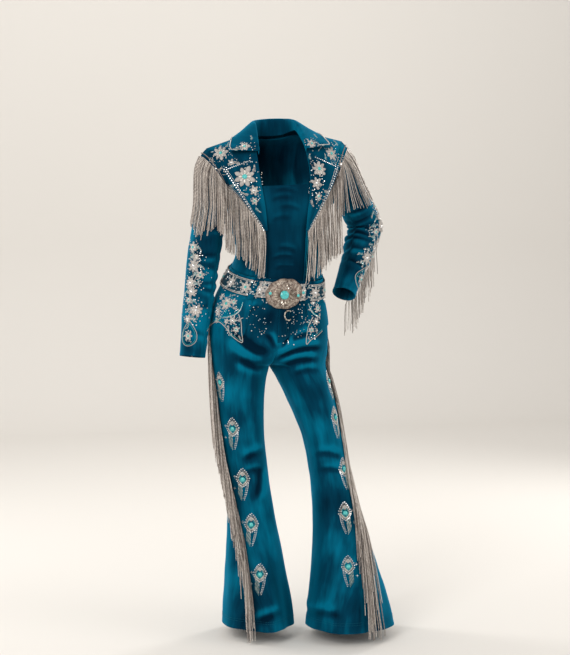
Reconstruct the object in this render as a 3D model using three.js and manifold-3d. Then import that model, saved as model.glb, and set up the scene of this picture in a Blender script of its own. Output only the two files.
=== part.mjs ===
import * as THREE from "three";
import Module from "manifold-3d";

// A worn western pantsuit: an open cropped jacket with western yokes, notched collar and fringe, a plain
// tube top tucked into flared trousers with fringed side seams, and an embroidered belt with a trophy buckle.
// Millimetres, +Z up. The wearer faces -Y, so the wearer's right is -X and has side -1.
// Heights in the tables are above the floor; the whole suit is lowered by SHOULDER_HEIGHT at the end, which
// puts the origin between the shoulder seams, where the wearer holds the suit up.

const SHOULDER_HEIGHT = 1500;
const VELVET = 2; // wall of the cloth panels
const OVERLAY = 1.5; // wall of a yoke, pocket or fly laid on a panel
const LEATHER = 3;
const SEAM = 0.3; // gap between pieces
const CROTCH = 830;
const HEM = 40;
const WAIST = 1112; // top of the waistband
const BELT = { low: 1054, high: 1104 };
const JACKET_HEM = 1112;
const NECKLINE = 1366; // top edge of the tube top in front
const SIDES = { right: -1, left: 1 };

// How the wearer stands: the body's sideways shift, its sideways tilt, and how far the waist dips in front.
const POSTURE = [
  { height: 0, shift: -20, tilt: 0, dip: 0 },
  { height: 300, shift: -20, tilt: 0, dip: 0 },
  { height: 600, shift: -20, tilt: 0, dip: 0 },
  { height: 780, shift: -20, tilt: -0.02, dip: 2 },
  { height: 900, shift: -20, tilt: -0.06, dip: 7 },
  { height: 1000, shift: -16, tilt: -0.08, dip: 16 },
  { height: 1060, shift: -7, tilt: -0.08, dip: 24 },
  { height: 1110, shift: 5, tilt: -0.07, dip: 24 },
  { height: 1170, shift: 11, tilt: -0.035, dip: 12 },
  { height: 1250, shift: 9, tilt: 0.01, dip: 0 },
  { height: 1350, shift: 6, tilt: 0.045, dip: 0 },
  { height: 1450, shift: 1, tilt: 0.062, dip: 0 },
  { height: 1550, shift: -3, tilt: 0.065, dip: 0 },
  { height: 1650, shift: -5, tilt: 0.065, dip: 0 },
];

// Torso rings: half width, depth in front and behind, the armhole's distance from the centre line, the front
// edge's distance from it, and the share of the shoulder slope that the ring has taken on.
const TORSO = [
  { height: 1060, wide: 150, front: 108, back: 102, armhole: 150, edge: 58, slope: 0 },
  { height: 1108, wide: 139, front: 106, back: 98, armhole: 139, edge: 58, slope: 0 },
  { height: 1156, wide: 131, front: 101, back: 89, armhole: 131, edge: 58, slope: 0 },
  { height: 1206, wide: 136, front: 106, back: 91, armhole: 136, edge: 59, slope: 0 },
  { height: 1256, wide: 145, front: 116, back: 98, armhole: 145, edge: 62, slope: 0 },
  { height: 1300, wide: 152, front: 125, back: 104, armhole: 152, edge: 66, slope: 0 },
  { height: 1336, wide: 159, front: 127, back: 107, armhole: 150, edge: 71, slope: 0.04 },
  { height: 1380, wide: 169, front: 121, back: 107, armhole: 158, edge: 76, slope: 0.18 },
  { height: 1426, wide: 184, front: 101, back: 100, armhole: 172, edge: 77, slope: 0.45 },
  { height: 1466, wide: 199, front: 72, back: 83, armhole: 188, edge: 75, slope: 0.75 },
  { height: 1497, wide: 211, front: 36, back: 50, armhole: 203, edge: 71, slope: 0.95 },
  { height: 1510, wide: 216, front: 0.3, back: 0.3, armhole: 213, edge: 67, slope: 1 },
];
const TORSO_SQUARE = 2.4; // exponent of the torso's rounded section
const NECK_HALF = 66;
const SHOULDER_DROP = 0.29; // fall of the shoulder seam per mm outwards
const NECK_RISE = 24;

// Leg rings, from the hem up: the centre's distance out from the body's middle and forward of it, half width,
// depth in front and behind, belly curve, twist of the ring in degrees, and how far the side seam has swung
// forward, as a share of the way from the outer side to the inseam.
const PELVIS = [
  { height: 832, out: 88, ahead: 0, wide: 87.8, front: 98, back: 112, belly: 0, twist: 0, seam: 0.02 },
  { height: 880, out: 90.5, ahead: 0, wide: 90.5, front: 104, back: 120, belly: 2, twist: 0, seam: 0.01 },
  { height: 940, out: 91, ahead: 0, wide: 91, front: 106, back: 120, belly: 6, twist: 0, seam: 0 },
  { height: 1000, out: 87, ahead: 0, wide: 87, front: 105, back: 114, belly: 9, twist: 0, seam: 0 },
  { height: 1056, out: 78, ahead: 0, wide: 78, front: 102, back: 104, belly: 10, twist: 0, seam: 0 },
  { height: 1110, out: 71, ahead: 0, wide: 71, front: 100, back: 98, belly: 10, twist: 0, seam: 0 },
];
const LEGS = {
  right: [
    { height: 0, out: 42, ahead: -6, wide: 104, front: 158, back: 148, belly: 0, twist: 8, seam: 0.26 },
    { height: 100, out: 42, ahead: -4, wide: 100, front: 140, back: 132, belly: 0, twist: 7, seam: 0.25 },
    { height: 200, out: 46, ahead: -2, wide: 90, front: 118, back: 114, belly: 0, twist: 5, seam: 0.22 },
    { height: 300, out: 51, ahead: 0, wide: 79, front: 97, back: 99, belly: 0, twist: 3, seam: 0.18 },
    { height: 400, out: 58, ahead: 0, wide: 68, front: 81, back: 86, belly: 0, twist: 1, seam: 0.14 },
    { height: 500, out: 69, ahead: -2, wide: 64, front: 71, back: 78, belly: 0, twist: 0, seam: 0.1 },
    { height: 600, out: 82, ahead: -3, wide: 66, front: 72, back: 80, belly: 0, twist: 0, seam: 0.07 },
    { height: 700, out: 89, ahead: -2, wide: 70, front: 80, back: 88, belly: 0, twist: 0, seam: 0.05 },
    { height: 780, out: 90, ahead: 0, wide: 78, front: 91, back: 101, belly: 0, twist: 0, seam: 0.03 },
    ...PELVIS,
  ],
  left: [
    { height: 0, out: 239, ahead: -90, wide: 139, front: 164, back: 156, belly: 0, twist: -32, seam: 0.3 },
    { height: 100, out: 234, ahead: -80, wide: 124, front: 150, back: 142, belly: 0, twist: -30, seam: 0.29 },
    { height: 200, out: 224, ahead: -69, wide: 105, front: 126, back: 122, belly: 0, twist: -24, seam: 0.26 },
    { height: 300, out: 212, ahead: -58, wide: 86, front: 99, back: 100, belly: 0, twist: -15, seam: 0.22 },
    { height: 400, out: 196, ahead: -47, wide: 68, front: 80, back: 84, belly: 0, twist: -8, seam: 0.17 },
    { height: 500, out: 180, ahead: -36, wide: 59, front: 71, back: 77, belly: 0, twist: -4, seam: 0.12 },
    { height: 600, out: 163, ahead: -25, wide: 60, front: 74, back: 80, belly: 0, twist: -2, seam: 0.08 },
    { height: 700, out: 137, ahead: -14, wide: 70, front: 83, back: 90, belly: 0, twist: 0, seam: 0.05 },
    { height: 780, out: 108, ahead: -5, wide: 80, front: 92, back: 102, belly: 0, twist: 0, seam: 0.03 },
    ...PELVIS,
  ],
};
const FRONT_RISE = 74; // height above the crotch at which the centre front is reached
const BACK_RISE = 118;
const FLARE_FOLDS = 5; // soft flutes round each hem
const FLARE_DEPTH = 5;

// Sleeve rings from the shoulder cap to the cuff: centre, half width across and front to back.
const SLEEVES = {
  right: [
    { x: -200, y: 5, z: 1284, across: 48, deep: 58 },
    { x: -212, y: 3, z: 1215, across: 48, deep: 56 },
    { x: -223, y: -1, z: 1140, across: 49, deep: 54 },
    { x: -233, y: -7, z: 1070, across: 47, deep: 51 },
    { x: -244, y: -14, z: 1000, across: 44, deep: 48 },
    { x: -254, y: -21, z: 928, across: 41, deep: 45 },
    { x: -262, y: -28, z: 857, across: 38, deep: 42 },
  ],
  left: [
    { x: 250, y: 56, z: 1352, across: 52, deep: 57 },
    { x: 284, y: 84, z: 1305, across: 53, deep: 55 },
    { x: 317, y: 102, z: 1254, across: 52, deep: 53 },
    { x: 301, y: 86, z: 1200, across: 49, deep: 50 },
    { x: 275, y: 59, z: 1147, across: 44, deep: 46 },
    { x: 247, y: 32, z: 1094, across: 39, deep: 42 },
    { x: 220, y: 5, z: 1040, across: 36, deep: 39 },
  ],
};
const CAP_SHARE = 0.34; // share of a sleeve's length that is the cap between armhole and first ring
const ELBOW_FOLDS = { depth: 2, count: 4, centre: 0.66, spread: 0.15 }; // gathers inside the bent elbow

// Strands: how many on each edge, and how thick a lock is at its root and its tip.
const STRANDS = { chest: 20, armhole: 9, back: 22, sleeve: 10, leg: 20 };
const LOCK = { root: 1.7, tip: 1.4 }; // half the thickness of a lock

const COLOURS = {
  velvet: { color: 0x035f73, roughness: 0.7, metalness: 0 },
  fringe: { color: 0xa59a92, roughness: 0.35, metalness: 0.6 },
  silver: { color: 0xa89d90, roughness: 0.3, metalness: 1 },
  strap: { color: 0x0a4a60, roughness: 0.6, metalness: 0 },
  turquoise: { color: 0x35b8b8, roughness: 0.3, metalness: 0 },
};

const wasm = await Module();
wasm.setup();
const { Vector3 } = THREE;
const suit = new THREE.Group();
const materials = Object.fromEntries(
  Object.entries(COLOURS).map(([name, look]) => [name, new THREE.MeshStandardMaterial(look)]),
);

// ---- Curves through the tables -------------------------------------------------------------------------

const clamp = (value, low, high) => Math.min(Math.max(value, low), high);
const mix = (a, b, share) => a + (b - a) * share;
const ease = (value) => {
  const t = clamp(value, 0, 1);
  return t * t * (3 - 2 * t);
};

// The row of a table at a fractional index: every column runs on one smooth curve through its rows.
function rowAt(table, index) {
  const last = table.length - 1;
  const start = clamp(Math.floor(index), 0, last - 1);
  const t = index - start;
  const row = {};
  for (const key of Object.keys(table[0])) {
    const b = table[start][key];
    const c = table[start + 1][key];
    const a = start > 0 ? table[start - 1][key] : 2 * b - c;
    const d = start + 2 <= last ? table[start + 2][key] : 2 * c - b;
    const bend = t * (3 * (b - c) + d - a) + 2 * a - 5 * b + 4 * c - d;
    row[key] = b + 0.5 * t * (c - a + t * bend);
  }
  return row;
}

function indexAt(table, height) {
  let low = 0;
  let high = table.length - 1;
  for (let step = 0; step < 26; step++) {
    const middle = (low + high) / 2;
    if (rowAt(table, middle).height < height) low = middle;
    else high = middle;
  }
  return (low + high) / 2;
}

const rowAtHeight = (table, height) => rowAt(table, indexAt(table, height));

function stand(x, y, height) {
  const { shift, tilt, dip } = rowAtHeight(POSTURE, height);
  return new Vector3(x + shift, y, height + tilt * x + (dip * y) / 100);
}

// ---- Surfaces of the worn form --------------------------------------------------------------------------

const power = (value, exponent) => Math.sign(value) * Math.abs(value) ** exponent;

// A point of the torso: angle 0 is the centre front and 90 degrees the wearer's left side.
function torso(angle, index) {
  const r = rowAt(TORSO, index);
  const x = r.wide * power(Math.sin(angle), 2 / TORSO_SQUARE);
  const depth = Math.cos(angle) > 0 ? r.front : r.back;
  const y = -depth * power(Math.cos(angle), 2 / TORSO_SQUARE);
  const fall = NECK_RISE - SHOULDER_DROP * Math.max(Math.abs(x) - NECK_HALF, 0);
  return stand(x, y, r.height + r.slope * fall);
}

const sideAngle = (x, wide) => Math.asin(clamp(x / wide, -1, 1) ** (TORSO_SQUARE / 2));

function torsoAt(x, index, behind = false) {
  const angle = Math.sign(x) * sideAngle(Math.abs(x), rowAt(TORSO, index).wide);
  return torso(behind ? Math.PI - angle : angle, index);
}

// A point of one trouser leg and its half of the pelvis. way runs from the outer side (0) to the inseam or
// the centre seam (1 in front, -1 behind).
function leg(name, way, height) {
  const r = rowAtHeight(LEGS[name], height);
  const front = way >= 0;
  const share = Math.abs(way);
  const depth = front ? -r.front : r.back;
  const rise = clamp((height - CROTCH) / (front ? FRONT_RISE : BACK_RISE), 0, 1);
  let out = r.out + r.wide * Math.cos(Math.PI * Math.min(share, 0.5));
  let y = depth * Math.sin(Math.PI * Math.min(share, 0.5));
  if (share > 0.5) {
    const t = 2 * share - 1;
    const middle = Math.sqrt(1 - (1 - rise) ** 2);
    out = r.out - r.wide * mix(Math.sin((Math.PI * t) / 2), t, ease(rise));
    y = depth * mix(1 - (1 - middle) * (1 - Math.cos((Math.PI * t) / 2)), 1, ease(rise * 1.4 - 0.4));
    y += (Math.sign(depth) * r.belly * (1 - Math.cos(Math.PI * t)) * ease(rise)) / 2;
  }
  const flute = ease((380 - height) / 360) * FLARE_DEPTH * Math.sin(FLARE_FOLDS * Math.PI * way + 0.6);
  const grow = 1 + flute / r.wide;
  const turn = THREE.MathUtils.degToRad(r.twist) * (name === "right" ? 1 : -1);
  const across = (out - r.out) * grow;
  const along = y * grow;
  out = r.out + across * Math.cos(turn) + along * Math.sin(turn);
  y = r.ahead - across * Math.sin(turn) + along * Math.cos(turn);
  if (height > CROTCH) out = Math.max(out, SEAM / 2);
  return stand(SIDES[name] * out, y, height);
}

// The way round a leg at which it stands x out from the middle, in front.
function wayAt(name, x, height) {
  const shift = rowAtHeight(POSTURE, height).shift;
  let low = 0;
  let high = 1;
  for (let step = 0; step < 24; step++) {
    const middle = (low + high) / 2;
    if ((leg(name, middle, height).x - shift) * SIDES[name] > x) low = middle;
    else high = middle;
  }
  return (low + high) / 2;
}

const pelvisAt = (x, height) => {
  const name = x < 0 ? "right" : "left";
  return leg(name, wayAt(name, Math.abs(x), height), height);
};

const ARMPIT = 5; // row of TORSO at which the armhole starts

// A point of the armhole: turn 0 is the armpit, 0.5 the shoulder seam, the first half in front.
function armhole(name, turn) {
  const upward = 1 - Math.abs(2 * turn - 1);
  const index = mix(ARMPIT, TORSO.length - 1, upward ** 0.85);
  const r = rowAt(TORSO, index);
  return torsoAt(SIDES[name] * Math.min(r.armhole, r.wide), index, turn > 0.5);
}

// A point of a sleeve: turn as on the armhole, along 0 at the armhole and 1 at the cuff.
function sleeve(name, turn, along) {
  const table = SLEEVES[name];
  const ring = (index) => {
    const r = rowAt(table, index);
    const next = rowAt(table, Math.min(index + 0.05, table.length - 1));
    const before = rowAt(table, Math.max(index - 0.05, 0));
    const down = new Vector3(next.x - before.x, next.y - before.y, next.z - before.z).normalize();
    const ahead = new Vector3(0, -1, 0);
    const inward = new Vector3().crossVectors(down, ahead).normalize().multiplyScalar(SIDES[name]);
    const forward = new Vector3().crossVectors(inward, down).normalize();
    if (forward.y > 0) forward.negate();
    const angle = 2 * Math.PI * turn;
    return {
      down,
      point: new Vector3(r.x, r.y, r.z)
        .addScaledVector(inward, r.across * Math.cos(angle))
        .addScaledVector(forward, r.deep * Math.sin(angle)),
      inward,
    };
  };
  if (along >= CAP_SHARE) {
    const share = (along - CAP_SHARE) / (1 - CAP_SHARE);
    const made = ring(share * (table.length - 1));
    const bent = name === "left" ? Math.exp(-(((along - ELBOW_FOLDS.centre) / ELBOW_FOLDS.spread) ** 2)) : 0;
    const wave = Math.sin(((along - ELBOW_FOLDS.centre) / ELBOW_FOLDS.spread) * Math.PI * ELBOW_FOLDS.count * 0.5);
    const inside = Math.max(Math.cos(2 * Math.PI * turn), 0);
    return made.point.addScaledVector(made.inward, ELBOW_FOLDS.depth * bent * wave * inside);
  }
  const t = along / CAP_SHARE;
  const first = ring(0);
  const from = armhole(name, turn);
  from.x += SIDES[name] * 3 * SEAM;
  const reach = from.distanceTo(first.point);
  const outward = new Vector3(SIDES[name], 0, -0.2 - 0.75 * Math.sin(Math.PI * turn) ** 2).normalize();
  const leave = from.clone().addScaledVector(outward, reach * 0.34);
  const arrive = first.point.clone().addScaledVector(first.down, -reach * 0.36);
  return new THREE.CubicBezierCurve3(from, leave, arrive, first.point).getPoint(t);
}

// ---- Solids from surfaces --------------------------------------------------------------------------------

const NUDGE = 2e-3;

// The outward normal of a surface(s, t), with s and t from 0 to 1. facing is -1 where s runs clockwise.
function normalAt(surface, s, t, facing, round = false) {
  const [s0, s1] = round ? [s - NUDGE, s + NUDGE] : [Math.max(s - NUDGE, 0), Math.min(s + NUDGE, 1)];
  const across = surface(s1, t).sub(surface(s0, t));
  const up = surface(s, Math.min(t + NUDGE, 1)).sub(surface(s, Math.max(t - NUDGE, 0)));
  return across.cross(up).normalize().multiplyScalar(facing);
}

const inFront = (point) => point.setY(Math.min(point.y, -SEAM / 2));
const behindSeam = (point) => point.setY(Math.max(point.y, SEAM / 2));

function solidOf(vertices, triangles) {
  const vertProperties = new Float32Array(vertices.flatMap((v) => v.toArray()));
  const made = new wasm.Manifold(
    new wasm.Mesh({ numProp: 3, vertProperties, triVerts: new Uint32Array(triangles.flat()) }),
  );
  if (made.volume() > 0) return made;
  const turned = triangles.map(([a, b, c]) => [a, c, b]);
  return new wasm.Manifold(
    new wasm.Mesh({ numProp: 3, vertProperties, triVerts: new Uint32Array(turned.flat()) }),
  );
}

// A wall of cloth over a surface, between two distances from it. Either distance may be a function of (s, t).
// keep may hold each point on its own side of a seam.
function wall(surface, { columns, rows, from, to, facing = 1, round = false, keep = (point) => point }) {
  const vertices = [];
  const width = round ? columns : columns + 1;
  const reach = (distance, s, t) => (typeof distance === "function" ? distance(s, t) : distance);
  for (const distance of [from, to])
    for (let j = 0; j <= rows; j++)
      for (let i = 0; i < width; i++) {
        const [s, t] = [i / columns, j / rows];
        const normal = normalAt(surface, s, t, facing, round);
        vertices.push(keep(surface(s, t).addScaledVector(normal, reach(distance, s, t))));
      }
  const at = (layer, i, j) => layer * width * (rows + 1) + j * width + (round ? i % columns : i);
  const triangles = [];
  const quad = (a, b, c, d) => triangles.push([a, b, c], [a, c, d]);
  for (let j = 0; j < rows; j++)
    for (let i = 0; i < columns; i++) {
      quad(at(1, i, j), at(1, i + 1, j), at(1, i + 1, j + 1), at(1, i, j + 1));
      quad(at(0, i, j), at(0, i, j + 1), at(0, i + 1, j + 1), at(0, i + 1, j));
    }
  for (let i = 0; i < columns; i++) {
    quad(at(0, i, 0), at(0, i + 1, 0), at(1, i + 1, 0), at(1, i, 0));
    quad(at(0, i, rows), at(1, i, rows), at(1, i + 1, rows), at(0, i + 1, rows));
  }
  for (let j = 0; !round && j < rows; j++) {
    quad(at(0, 0, j), at(1, 0, j), at(1, 0, j + 1), at(0, 0, j + 1));
    quad(at(0, columns, j), at(0, columns, j + 1), at(1, columns, j + 1), at(1, columns, j));
  }
  return solidOf(vertices, triangles);
}

// A fringe: a narrow strip over a surface, closed behind, whose outer face draws out into one four-sided lock
// per cell. paths holds the points that each lock's centre runs through after its root.
function fringeSolid(strip, paths, { columns, rows, facing, from = 1, to = 2.8 }) {
  const vertices = [];
  const triangles = [];
  const width = columns + 1;
  for (const distance of [from, to])
    for (let j = 0; j <= rows; j++)
      for (let i = 0; i <= columns; i++) {
        const [s, t] = [i / columns, j / rows];
        vertices.push(strip(s, t).addScaledVector(normalAt(strip, s, t, facing), distance));
      }
  const at = (layer, i, j) => layer * width * (rows + 1) + j * width + i;
  const quad = (p, q, r, v) => triangles.push([p, q, r], [p, r, v]);
  for (let i = 0; i < columns; i++) {
    quad(at(0, i, 0), at(0, i + 1, 0), at(1, i + 1, 0), at(1, i, 0));
    quad(at(0, i, rows), at(1, i, rows), at(1, i + 1, rows), at(0, i + 1, rows));
  }
  for (let j = 0; j < rows; j++) {
    quad(at(0, 0, j), at(1, 0, j), at(1, 0, j + 1), at(0, 0, j + 1));
    quad(at(0, columns, j), at(0, columns, j + 1), at(1, columns, j + 1), at(1, columns, j));
    for (let i = 0; i < columns; i++) {
      quad(at(0, i, j), at(0, i, j + 1), at(0, i + 1, j + 1), at(0, i + 1, j));
      let ring = [at(1, i, j), at(1, i + 1, j), at(1, i + 1, j + 1), at(1, i, j + 1)];
      const sideways = vertices[ring[1]].clone().sub(vertices[ring[0]]);
      const path = paths[Math.max(i, j)];
      path.forEach((point, k) => {
        const along = path[Math.min(k + 1, path.length - 1)].clone().sub(path[Math.max(k - 1, 0)]).normalize();
        const across = sideways.clone().addScaledVector(along, -sideways.dot(along)).normalize();
        const other = new Vector3().crossVectors(along, across).multiplyScalar(facing);
        const half = mix(LOCK.root, LOCK.tip, k / (path.length - 1));
        const next = [
          [-half, -half],
          [half, -half],
          [half, half],
          [-half, half],
        ].map(([a, b]) => {
          vertices.push(point.clone().addScaledVector(across, a).addScaledVector(other, b));
          return vertices.length - 1;
        });
        for (let corner = 0; corner < 4; corner++) {
          const turn = (corner + 1) % 4;
          quad(ring[corner], ring[turn], next[turn], next[corner]);
        }
        ring = next;
      });
      quad(...ring);
    }
  }
  return solidOf(vertices, triangles);
}

function add(name, solid, material) {
  const made = solid.getMesh();
  const positions = new Float32Array(made.numVert * 3);
  for (let i = 0; i < made.numVert; i++)
    positions.set(made.vertProperties.subarray(i * made.numProp, i * made.numProp + 3), i * 3);
  const geometry = new THREE.BufferGeometry();
  geometry.setAttribute("position", new THREE.BufferAttribute(positions, 3));
  geometry.setIndex(new THREE.BufferAttribute(made.triVerts, 1));
  geometry.computeVertexNormals();
  const mesh = new THREE.Mesh(geometry, materials[material]);
  mesh.name = name;
  suit.add(mesh);
}

// ---- Jacket -----------------------------------------------------------------------------------------------

const TOP_ROW = TORSO.length - 1;
const HEM_ROW = indexAt(TORSO, JACKET_HEM);
const CUT = 0.0012; // half a seam gap, in radians round the torso

const frontEdge = (index) => rowAt(TORSO, index).edge;
const armholeAngle = (index) => {
  const r = rowAt(TORSO, index);
  return index <= ARMPIT ? Math.PI / 2 : sideAngle(Math.min(r.armhole, r.wide), r.wide);
};

const FRONT_GRID = { columns: 8, rows: 13 };
const BACK_GRID = { columns: 16, rows: 11 };

// Jacket front: from the open front edge to the side seam and the armhole.
function frontPoint(side, s, index) {
  const inner = sideAngle(frontEdge(index), rowAt(TORSO, index).wide);
  return torso(side * mix(inner, armholeAngle(index) - CUT, s), index);
}
const jacketFront = (side) => (s, t) => frontPoint(side, s, mix(HEM_ROW, TOP_ROW, t));

// The back neckline is an arc from one shoulder seam to the other; this is its row of the table.
const NECK_DEEP = 58;
function backTop(across) {
  const y = NECK_DEEP * Math.sqrt(Math.max(1 - (across / (NECK_HALF + 6)) ** 2, 0));
  return TOP_ROW - (y < 50 ? y / 50 : 1 + (y - 50) / 33);
}

const backPoint = (s, index) => torso(Math.PI - (2 * s - 1) * (armholeAngle(index) - CUT), index);
const backRow = (s, t) => mix(HEM_ROW, backTop((2 * s - 1) * rowAt(TORSO, TOP_ROW).armhole), t);
const jacketBack = (s, t) => backPoint(s, backRow(s, t));

for (const [name, side] of Object.entries(SIDES))
  add(
    `jacket_front_${name}`,
    wall(jacketFront(side), { ...FRONT_GRID, from: -VELVET, to: 0, facing: side, keep: inFront }),
    "velvet",
  );
const backShape = { ...BACK_GRID, from: -VELVET, to: 0, facing: -1, keep: behindSeam };
add("jacket_back", wall(jacketBack, backShape), "velvet");

// Western yokes, laid on the fronts and the back.
const YOKE = { back: 1318, backRise: 0.42 };
const overlay = (lift) => ({ from: lift, to: lift + OVERLAY });
const YOKE_LIFT = 0.7;

// The front yoke's lower edge runs just below the lapel's outer edge, out to the armhole.
const LAPEL = { low: 1236, notch: 1452, peak: 1416, reach: 180, root: 64, flat: 104, lift: 2.8 };
const lapelEdge = (height) => {
  const share = clamp((height - LAPEL.low) / (LAPEL.peak - LAPEL.low), 0, 1);
  return LAPEL.root + (LAPEL.reach - LAPEL.root) * share ** 0.92;
};
const yokeLine = (x) => {
  const share = (Math.max(x, 66) - LAPEL.root) / (LAPEL.reach - LAPEL.root);
  return LAPEL.low - 4 + (LAPEL.peak - LAPEL.low) * share ** (1 / 0.92);
};

const backYokeLine = (across) => YOKE.back + YOKE.backRise * Math.abs(across) - 6 * Math.exp(-((across / 30) ** 2));

// A yoke's rows above its lower edge are those of the panel under it, so the two lie flat on each other.
function yokeRow(low, first, count, row, t) {
  const place = t * count;
  const step = Math.min(Math.floor(place), count - 1);
  const at = (k) => (k === 0 ? low : Math.max(row(first + k), low + 0.1 * k));
  return mix(at(step), at(step + 1), place - step);
}
// The row at which a column of the panel crosses a line drawn by its distance from the middle.
function crossing(point, s, line) {
  let index = 5;
  for (let step = 0; step < 5; step++) {
    const across = point(s, index).x - rowAtHeight(POSTURE, rowAt(TORSO, index).height).shift;
    index = indexAt(TORSO, line(Math.abs(across)));
  }
  return index;
}
const YOKE_INSET = 0.985; // a yoke stops just short of the armhole

const FRONT_YOKE = { first: 4, rows: 9 };
const yokeFront = (side) => (lane, t) => {
  const s = YOKE_INSET * lane;
  const low = crossing((at, index) => frontPoint(side, at, index), s, yokeLine);
  const row = (k) => mix(HEM_ROW, TOP_ROW, k / FRONT_GRID.rows);
  return frontPoint(side, s, yokeRow(low, FRONT_YOKE.first, FRONT_YOKE.rows, row, t));
};
const BACK_YOKE = { first: 5, rows: 6 };
const yokeBack = (lane, t) => {
  const s = 0.5 + YOKE_INSET * (lane - 0.5);
  const low = crossing(backPoint, s, backYokeLine);
  const row = (k) => backRow(s, k / BACK_GRID.rows);
  return backPoint(s, yokeRow(low, BACK_YOKE.first, BACK_YOKE.rows, row, t));
};

for (const [name, side] of Object.entries(SIDES))
  add(
    `yoke_front_${name}`,
    wall(yokeFront(side), {
      columns: FRONT_GRID.columns,
      rows: FRONT_YOKE.rows,
      ...overlay(YOKE_LIFT),
      facing: side,
      keep: inFront,
    }),
    "velvet",
  );
add(
  "yoke_back",
  wall(yokeBack, {
    columns: BACK_GRID.columns,
    rows: BACK_YOKE.rows,
    ...overlay(YOKE_LIFT),
    facing: -1,
    keep: behindSeam,
  }),
  "velvet",
);

// Lapels: folded back over the fronts from the fold line, flat out to a pointed peak that stands off the chest.
const lapel = (side) => (s, t) => {
  const height = mix(LAPEL.low, mix(LAPEL.notch, LAPEL.peak, s), t);
  const index = indexAt(TORSO, height);
  const inner = frontEdge(index) - 0.5;
  const x = mix(inner, Math.max(lapelEdge(height), inner + 3), s);
  const point = torsoAt(side * Math.min(x, LAPEL.flat), index);
  const beyond = Math.max(x - LAPEL.flat, 0);
  return point.add(new Vector3(side * beyond, 0.28 * beyond + 0.0022 * beyond ** 2, 0));
};

for (const [name, side] of Object.entries(SIDES))
  add(
    `lapel_${name}`,
    wall(lapel(side), {
      columns: 5,
      rows: 9,
      from: LAPEL.lift,
      to: (s) => LAPEL.lift + VELVET + 1.2 * Math.sin(Math.PI * Math.min(s * 1.2, 1)),
      facing: side,
    }),
    "velvet",
  );

// Notched collar: a stand that rises from the neckline, folds over and falls on the shoulders.
const COLLAR = { columns: 16, rows: 6, spread: 3.2 };
const COLLAR_LINE = [
  { x: 74, y: -92, z: 1464, foldX: 77, foldY: -97, foldZ: 1475, outX: 155, outY: -74, outZ: 1479 },
  { x: 71, y: -68, z: 1494, foldX: 74, foldY: -74, foldZ: 1511, outX: 154, outY: -50, outZ: 1492 },
  { x: 64, y: -20, z: 1531, foldX: 66, foldY: -22, foldZ: 1554, outX: 138, outY: -12, outZ: 1516.4 },
  { x: 60, y: 22, z: 1534, foldX: 60, foldY: 18, foldZ: 1567, outX: 120, outY: 44, outZ: 1513.4 },
  { x: 36, y: 50, z: 1526, foldX: 37, foldY: 48, foldZ: 1572, outX: 66, outY: 88, outZ: 1490 },
  { x: 0, y: 60, z: 1524, foldX: 0, foldY: 58, foldZ: 1574, outX: 0, outY: 98, outZ: 1482 },
];

const collar = (s, t) => {
  const lane = 2 * s - 1;
  const r = rowAt(COLLAR_LINE, (1 - Math.abs(lane)) * (COLLAR_LINE.length - 1));
  const side = lane < 0 ? -1 : 1;
  const seam = new Vector3(r.x, r.y, r.z);
  const fold = new Vector3(r.foldX, r.foldY, r.foldZ);
  const edge = new Vector3(r.outX, r.outY, r.outZ);
  const over = new Vector3(edge.x - fold.x, edge.y - fold.y, 0).setLength(COLLAR.spread);
  const curve = new THREE.CatmullRomCurve3(
    [seam, fold.clone().sub(over), fold.clone().add(over), edge.clone().lerp(fold, 0.45), edge],
    false,
    "centripetal",
  );
  const p = curve.getPointAt(t);
  return stand(side * p.x, p.y, p.z);
};
add("collar", wall(collar, { columns: COLLAR.columns, rows: COLLAR.rows, from: 0, to: VELVET, facing: 1 }), "velvet");

// Two-piece sleeves: a top sleeve over the outside of the arm and an under sleeve inside it.
const SLEEVE_SEAMS = { front: { right: 0.14, left: 0.1 }, back: { right: 0.78, left: 0.62 } };
const SLEEVE_GAP = 0.0018;

const topSleeve = (name) => (s, t) =>
  sleeve(name, mix(SLEEVE_SEAMS.front[name] + SLEEVE_GAP, SLEEVE_SEAMS.back[name] - SLEEVE_GAP, s), 1 - t);
const underSleeve = (name) => (s, t) => {
  const turn = mix(SLEEVE_SEAMS.back[name] + SLEEVE_GAP, 1 + SLEEVE_SEAMS.front[name] - SLEEVE_GAP, s);
  return sleeve(name, turn % 1, 1 - t);
};

for (const [name, side] of Object.entries(SIDES)) {
  const make = { rows: 15, from: -VELVET, to: 0, facing: side };
  add(`sleeve_top_${name}`, wall(topSleeve(name), { columns: 9, ...make }), "velvet");
  add(`sleeve_under_${name}`, wall(underSleeve(name), { columns: 5, ...make }), "velvet");
}

// ---- Tube top -----------------------------------------------------------------------------------------------

const TUBE = { low: 1084, side: 1290, tuck: 7 };
const tubeShape = {
  from: (s, t) => -6 - TUBE.tuck * (1 - t) ** 1.5,
  to: (s, t) => -3.8 - TUBE.tuck * (1 - t) ** 1.5,
};

const tubeTop = (behind) => (s, t) => {
  const angle = mix(-Math.PI / 2 + CUT, Math.PI / 2 - CUT, s);
  const level = ease((Math.abs(angle) - 0.7) / 0.85);
  const high = behind ? TUBE.side + 14 * Math.cos(angle) : mix(NECKLINE, TUBE.side, level);
  const index = indexAt(TORSO, mix(TUBE.low, high, t));
  return torso(behind ? Math.PI - angle : angle, index);
};
add("top_front", wall(tubeTop(false), { columns: 12, rows: 8, ...tubeShape, keep: inFront }), "velvet");
add("top_back", wall(tubeTop(true), { columns: 8, rows: 5, ...tubeShape, facing: -1, keep: behindSeam }), "velvet");

// ---- Trousers -----------------------------------------------------------------------------------------------

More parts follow.
